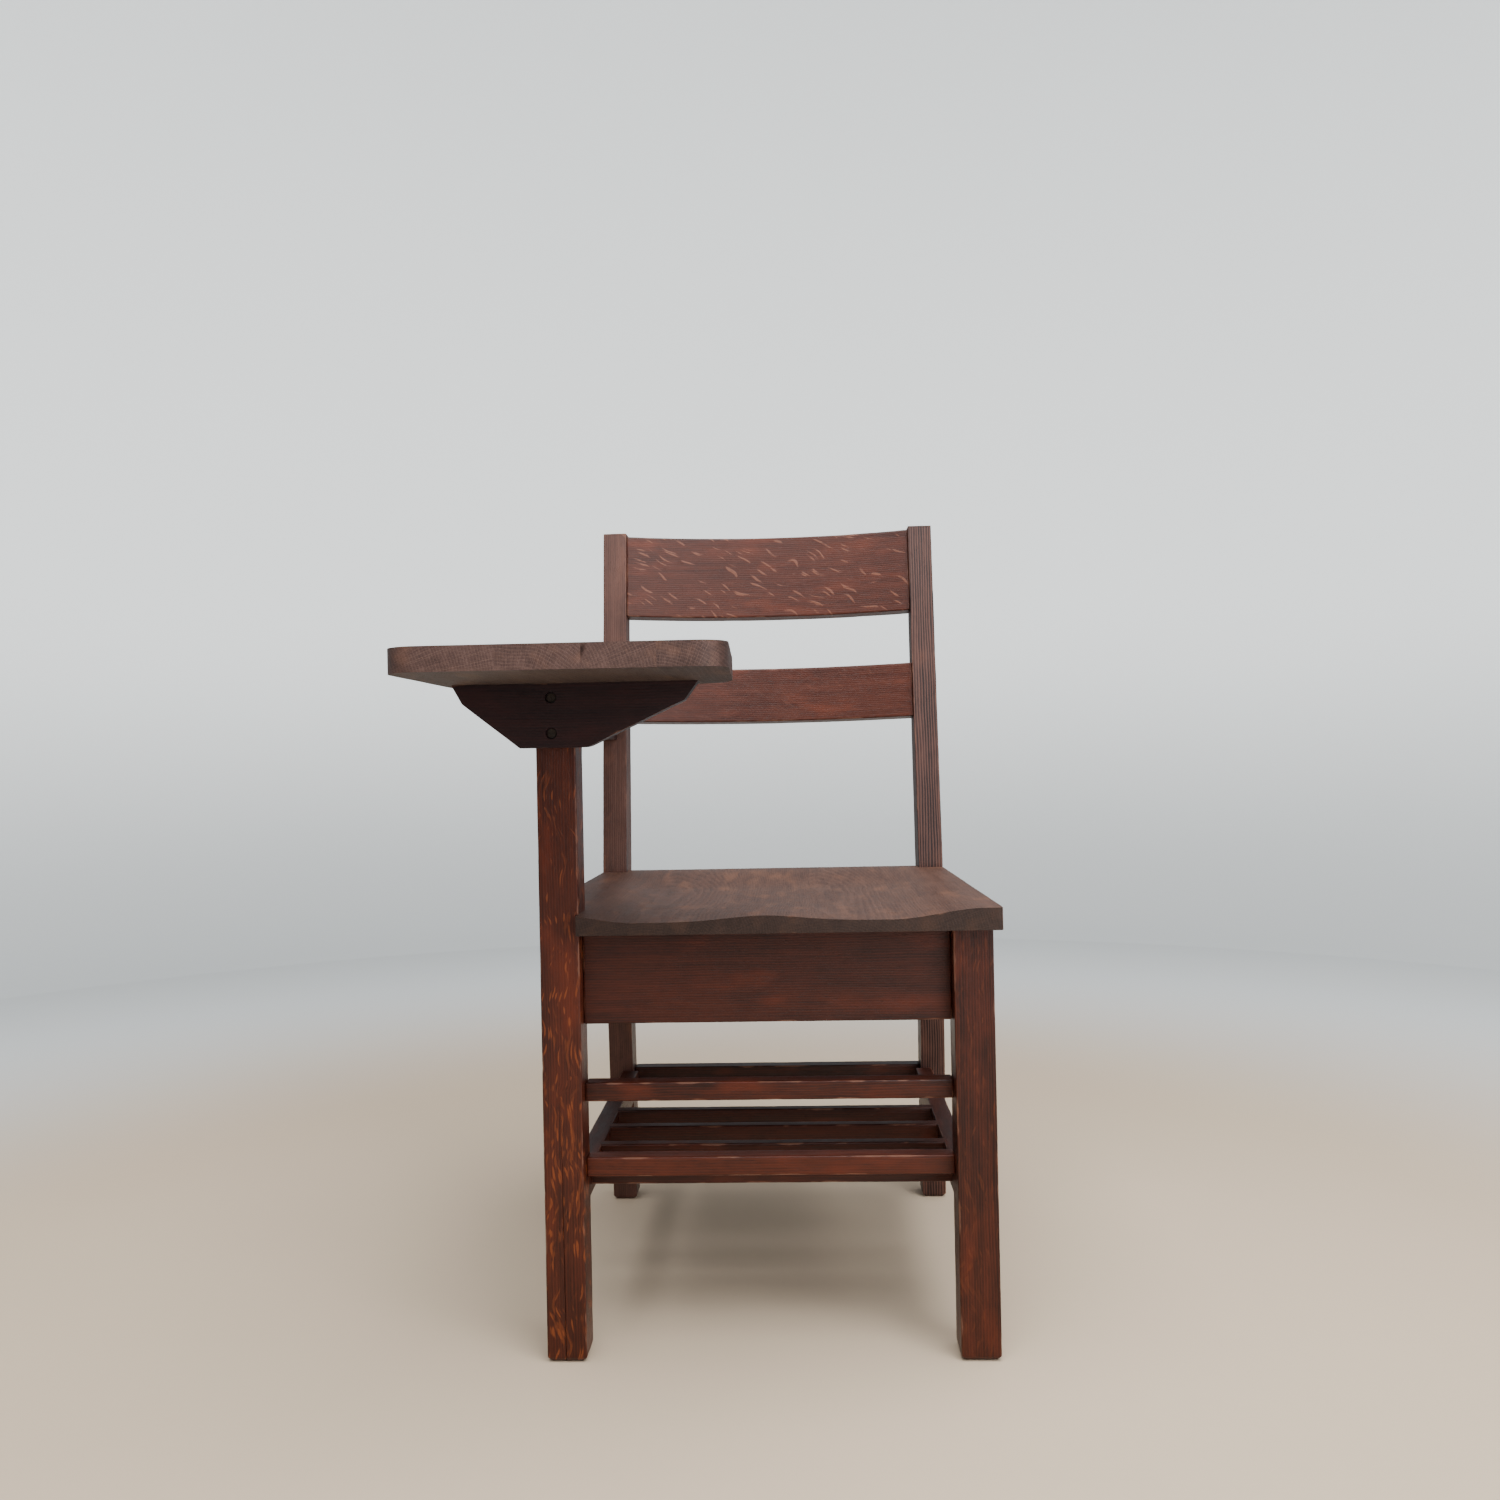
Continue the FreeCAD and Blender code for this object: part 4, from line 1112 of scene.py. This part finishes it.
SKY, SKY_STRENGTH = (0.93, 0.97, 1.0, 1), 0.40
AIM = Vector((0, 0, 0.45))      # what the lamps point at
LAMPS = (       # name, place and side in metres, power in watts
    ("overhead", Vector((0.2, -0.75, 2.5)), 2.4, 138),
    ("fill", Vector((1.5, -2.0, 1.1)), 1.8, 48))


class SchoolChairStage(bpy.types.Operator):
    """Sets up the camera, the pale floor and backdrop, and the soft light"""
    bl_idname = "school_chair.stage"
    bl_label = "Stage"

    def execute(self, context):
        self.camera(context)
        self.floor(context)
        self.backdrop(context)
        self.lights(context)
        return {"FINISHED"}

    def camera(self, context):
        """The camera, aimed by its yaw, pitch and roll."""
        view = context.scene.school_chair_view
        ahead = Vector((-math.sin(view.yaw) * math.cos(view.pitch),
                        math.cos(view.yaw) * math.cos(view.pitch), math.sin(view.pitch)))
        level = Vector((math.cos(view.yaw), math.sin(view.yaw), 0))
        over = level.cross(ahead)
        right = level * math.cos(view.roll) - over * math.sin(view.roll)
        up = level * math.sin(view.roll) + over * math.cos(view.roll)
        data = bpy.data.cameras.new("camera")
        data.sensor_width = 36
        data.lens = view.lens
        camera = bpy.data.objects.new("camera", data)
        camera.matrix_world = Matrix.Translation(view.place) @ Matrix(
            (right, up, -ahead)).transposed().to_4x4()
        context.scene.collection.objects.link(camera)
        context.scene.camera = camera

    def floor(self, context):
        """A round floor that fades to the backdrop's colour."""
        radius = context.scene.school_chair_view.studio
        tone, wall = tuple(colours().floor), tuple(colours().backdrop)
        pale = Shader("pale_floor")
        at = pale.node("ShaderNodeTexCoord", {}, {}, "Object")
        cloud = pale.noise(at, (2.2, 2.2, 2.2), 5, 0.6)
        fine = pale.noise(at, (60, 60, 60), 3, 0.6)
        face = pale.mix((cloud - 0.5) * 0.5 + (fine - 0.5) * 0.25 + 0.5,
                        scaled(tone, 0.93), scaled(tone, 1.06))
        face = pale.mix(pale.length(at).step(0.35 * radius, 0.8 * radius), face, wall)
        material = pale.surface({"Base Color": face, "Roughness": 0.75 + (fine - 0.5) * 0.2}, 0.3)
        bm = bmesh.new()
        bmesh.ops.create_circle(bm, cap_ends=True, segments=128, radius=radius)
        self.stand(bm, "floor", material, context)

    def backdrop(self, context):
        """A cove and a wall round the floor, which only the camera sees."""
        view = context.scene.school_chair_view
        cove, steps = view.cove, 14
        turns = [math.pi / 2 * step / steps for step in range(steps + 1)]
        points = [Vector((view.studio + cove * math.sin(turn), 0, cove * (1 - math.cos(turn))))
                  for turn in turns]
        points.append(points[-1] + way(Z, view.wall))
        bm = bmesh.new()
        line = [bm.verts.new(point) for point in points]
        edges = [bm.edges.new(pair) for pair in zip(line, line[1:])]
        bmesh.ops.spin(bm, geom=line + edges, axis=way(Z), cent=Vector(), steps=96,
                       angle=2 * math.pi, use_merge=True)
        wall = tuple(colours().backdrop)
        paper = Shader("pale_backdrop")
        at = paper.node("ShaderNodeTexCoord", {}, {}, "Object")
        face = paper.mix(paper.noise(at, (1.5, 1.5, 1.5), 3), scaled(wall, 0.97), wall)
        glow = paper.mix(paper.part(at, "Z").step(0, cove), (0.02, 0.02, 0.02), face)
        material = paper.surface({"Base Color": face, "Roughness": 0.8, "Emission Color": glow,
                                  "Emission Strength": 0.95}, 0.1)
        made = self.stand(bm, "backdrop", material, context)
        for ray in ("diffuse", "glossy", "transmission", "shadow"):
            setattr(made, "visible_" + ray, False)

    def stand(self, bm, name, material, context):
        """Turns a mesh into a smooth piece of the stage."""
        mesh = bpy.data.meshes.new(name)
        for face in bm.faces:
            face.smooth = True
        bm.to_mesh(mesh)
        bm.free()
        mesh.materials.append(material)
        made = bpy.data.objects.new(name, mesh)
        context.scene.collection.objects.link(made)
        return made

    def lights(self, context):
        """A pale sky and two large soft lamps."""
        world = bpy.data.worlds.new("studio")
        world.use_nodes = True
        sky = world.node_tree.nodes["Background"]
        sky.inputs["Color"].default_value = SKY
        sky.inputs["Strength"].default_value = SKY_STRENGTH
        context.scene.world = world
        for name, place, side, power in LAMPS:
            data = bpy.data.lights.new(name, "AREA")
            data.shape = "SQUARE"
            data.size = side
            data.energy = power
            lamp = bpy.data.objects.new(name, data)
            lamp.location = place
            lamp.rotation_euler = (AIM - place).to_track_quat("-Z", "Y").to_euler()
            context.scene.collection.objects.link(lamp)


# ---------------------------------------------------------------- add-on


PIECES = (SchoolChairStage, SchoolChairLegs, SchoolChairRearPosts, SchoolChairBackRails,
          SchoolChairSeatFrame, SchoolChairBookRack, SchoolChairSeat, SchoolChairTablet,
          SchoolChairTabletSupport, SchoolChairFittings)


class SchoolChairPanel(bpy.types.Panel):
    """Lists the chair's pieces and settings"""
    bl_idname = "VIEW3D_PT_school_chair"
    bl_label = "School Chair"
    bl_space_type = "VIEW_3D"
    bl_region_type = "UI"
    bl_category = "School Chair"

    def draw(self, context):
        for piece in PIECES:
            self.layout.operator(piece.bl_idname)
        for group in (sizes(), colours(), context.scene.school_chair_view):
            box = self.layout.box()
            for name in group.bl_rna.properties.keys():
                if name not in ("rna_type", "name"):
                    box.prop(group, name)


GROUPS = {"school_chair_sizes": SchoolChairSizes, "school_chair_colours": SchoolChairColours,
          "school_chair_view": SchoolChairView}


def register():
    for kind in (*GROUPS.values(), *PIECES, SchoolChairPanel):
        bpy.utils.register_class(kind)
    for name, group in GROUPS.items():
        setattr(bpy.types.Scene, name, bpy.props.PointerProperty(type=group))


def unregister():
    for name in GROUPS:
        delattr(bpy.types.Scene, name)
    for kind in reversed((*GROUPS.values(), *PIECES, SchoolChairPanel)):
        bpy.utils.unregister_class(kind)


def main():
    register()
    for piece in PIECES:
        family, call = piece.bl_idname.split(".")
        if getattr(getattr(bpy.ops, family), call)() != {"FINISHED"}:
            raise RuntimeError(piece.bl_label + " was not built")


if __name__ == "__main__":
    main()
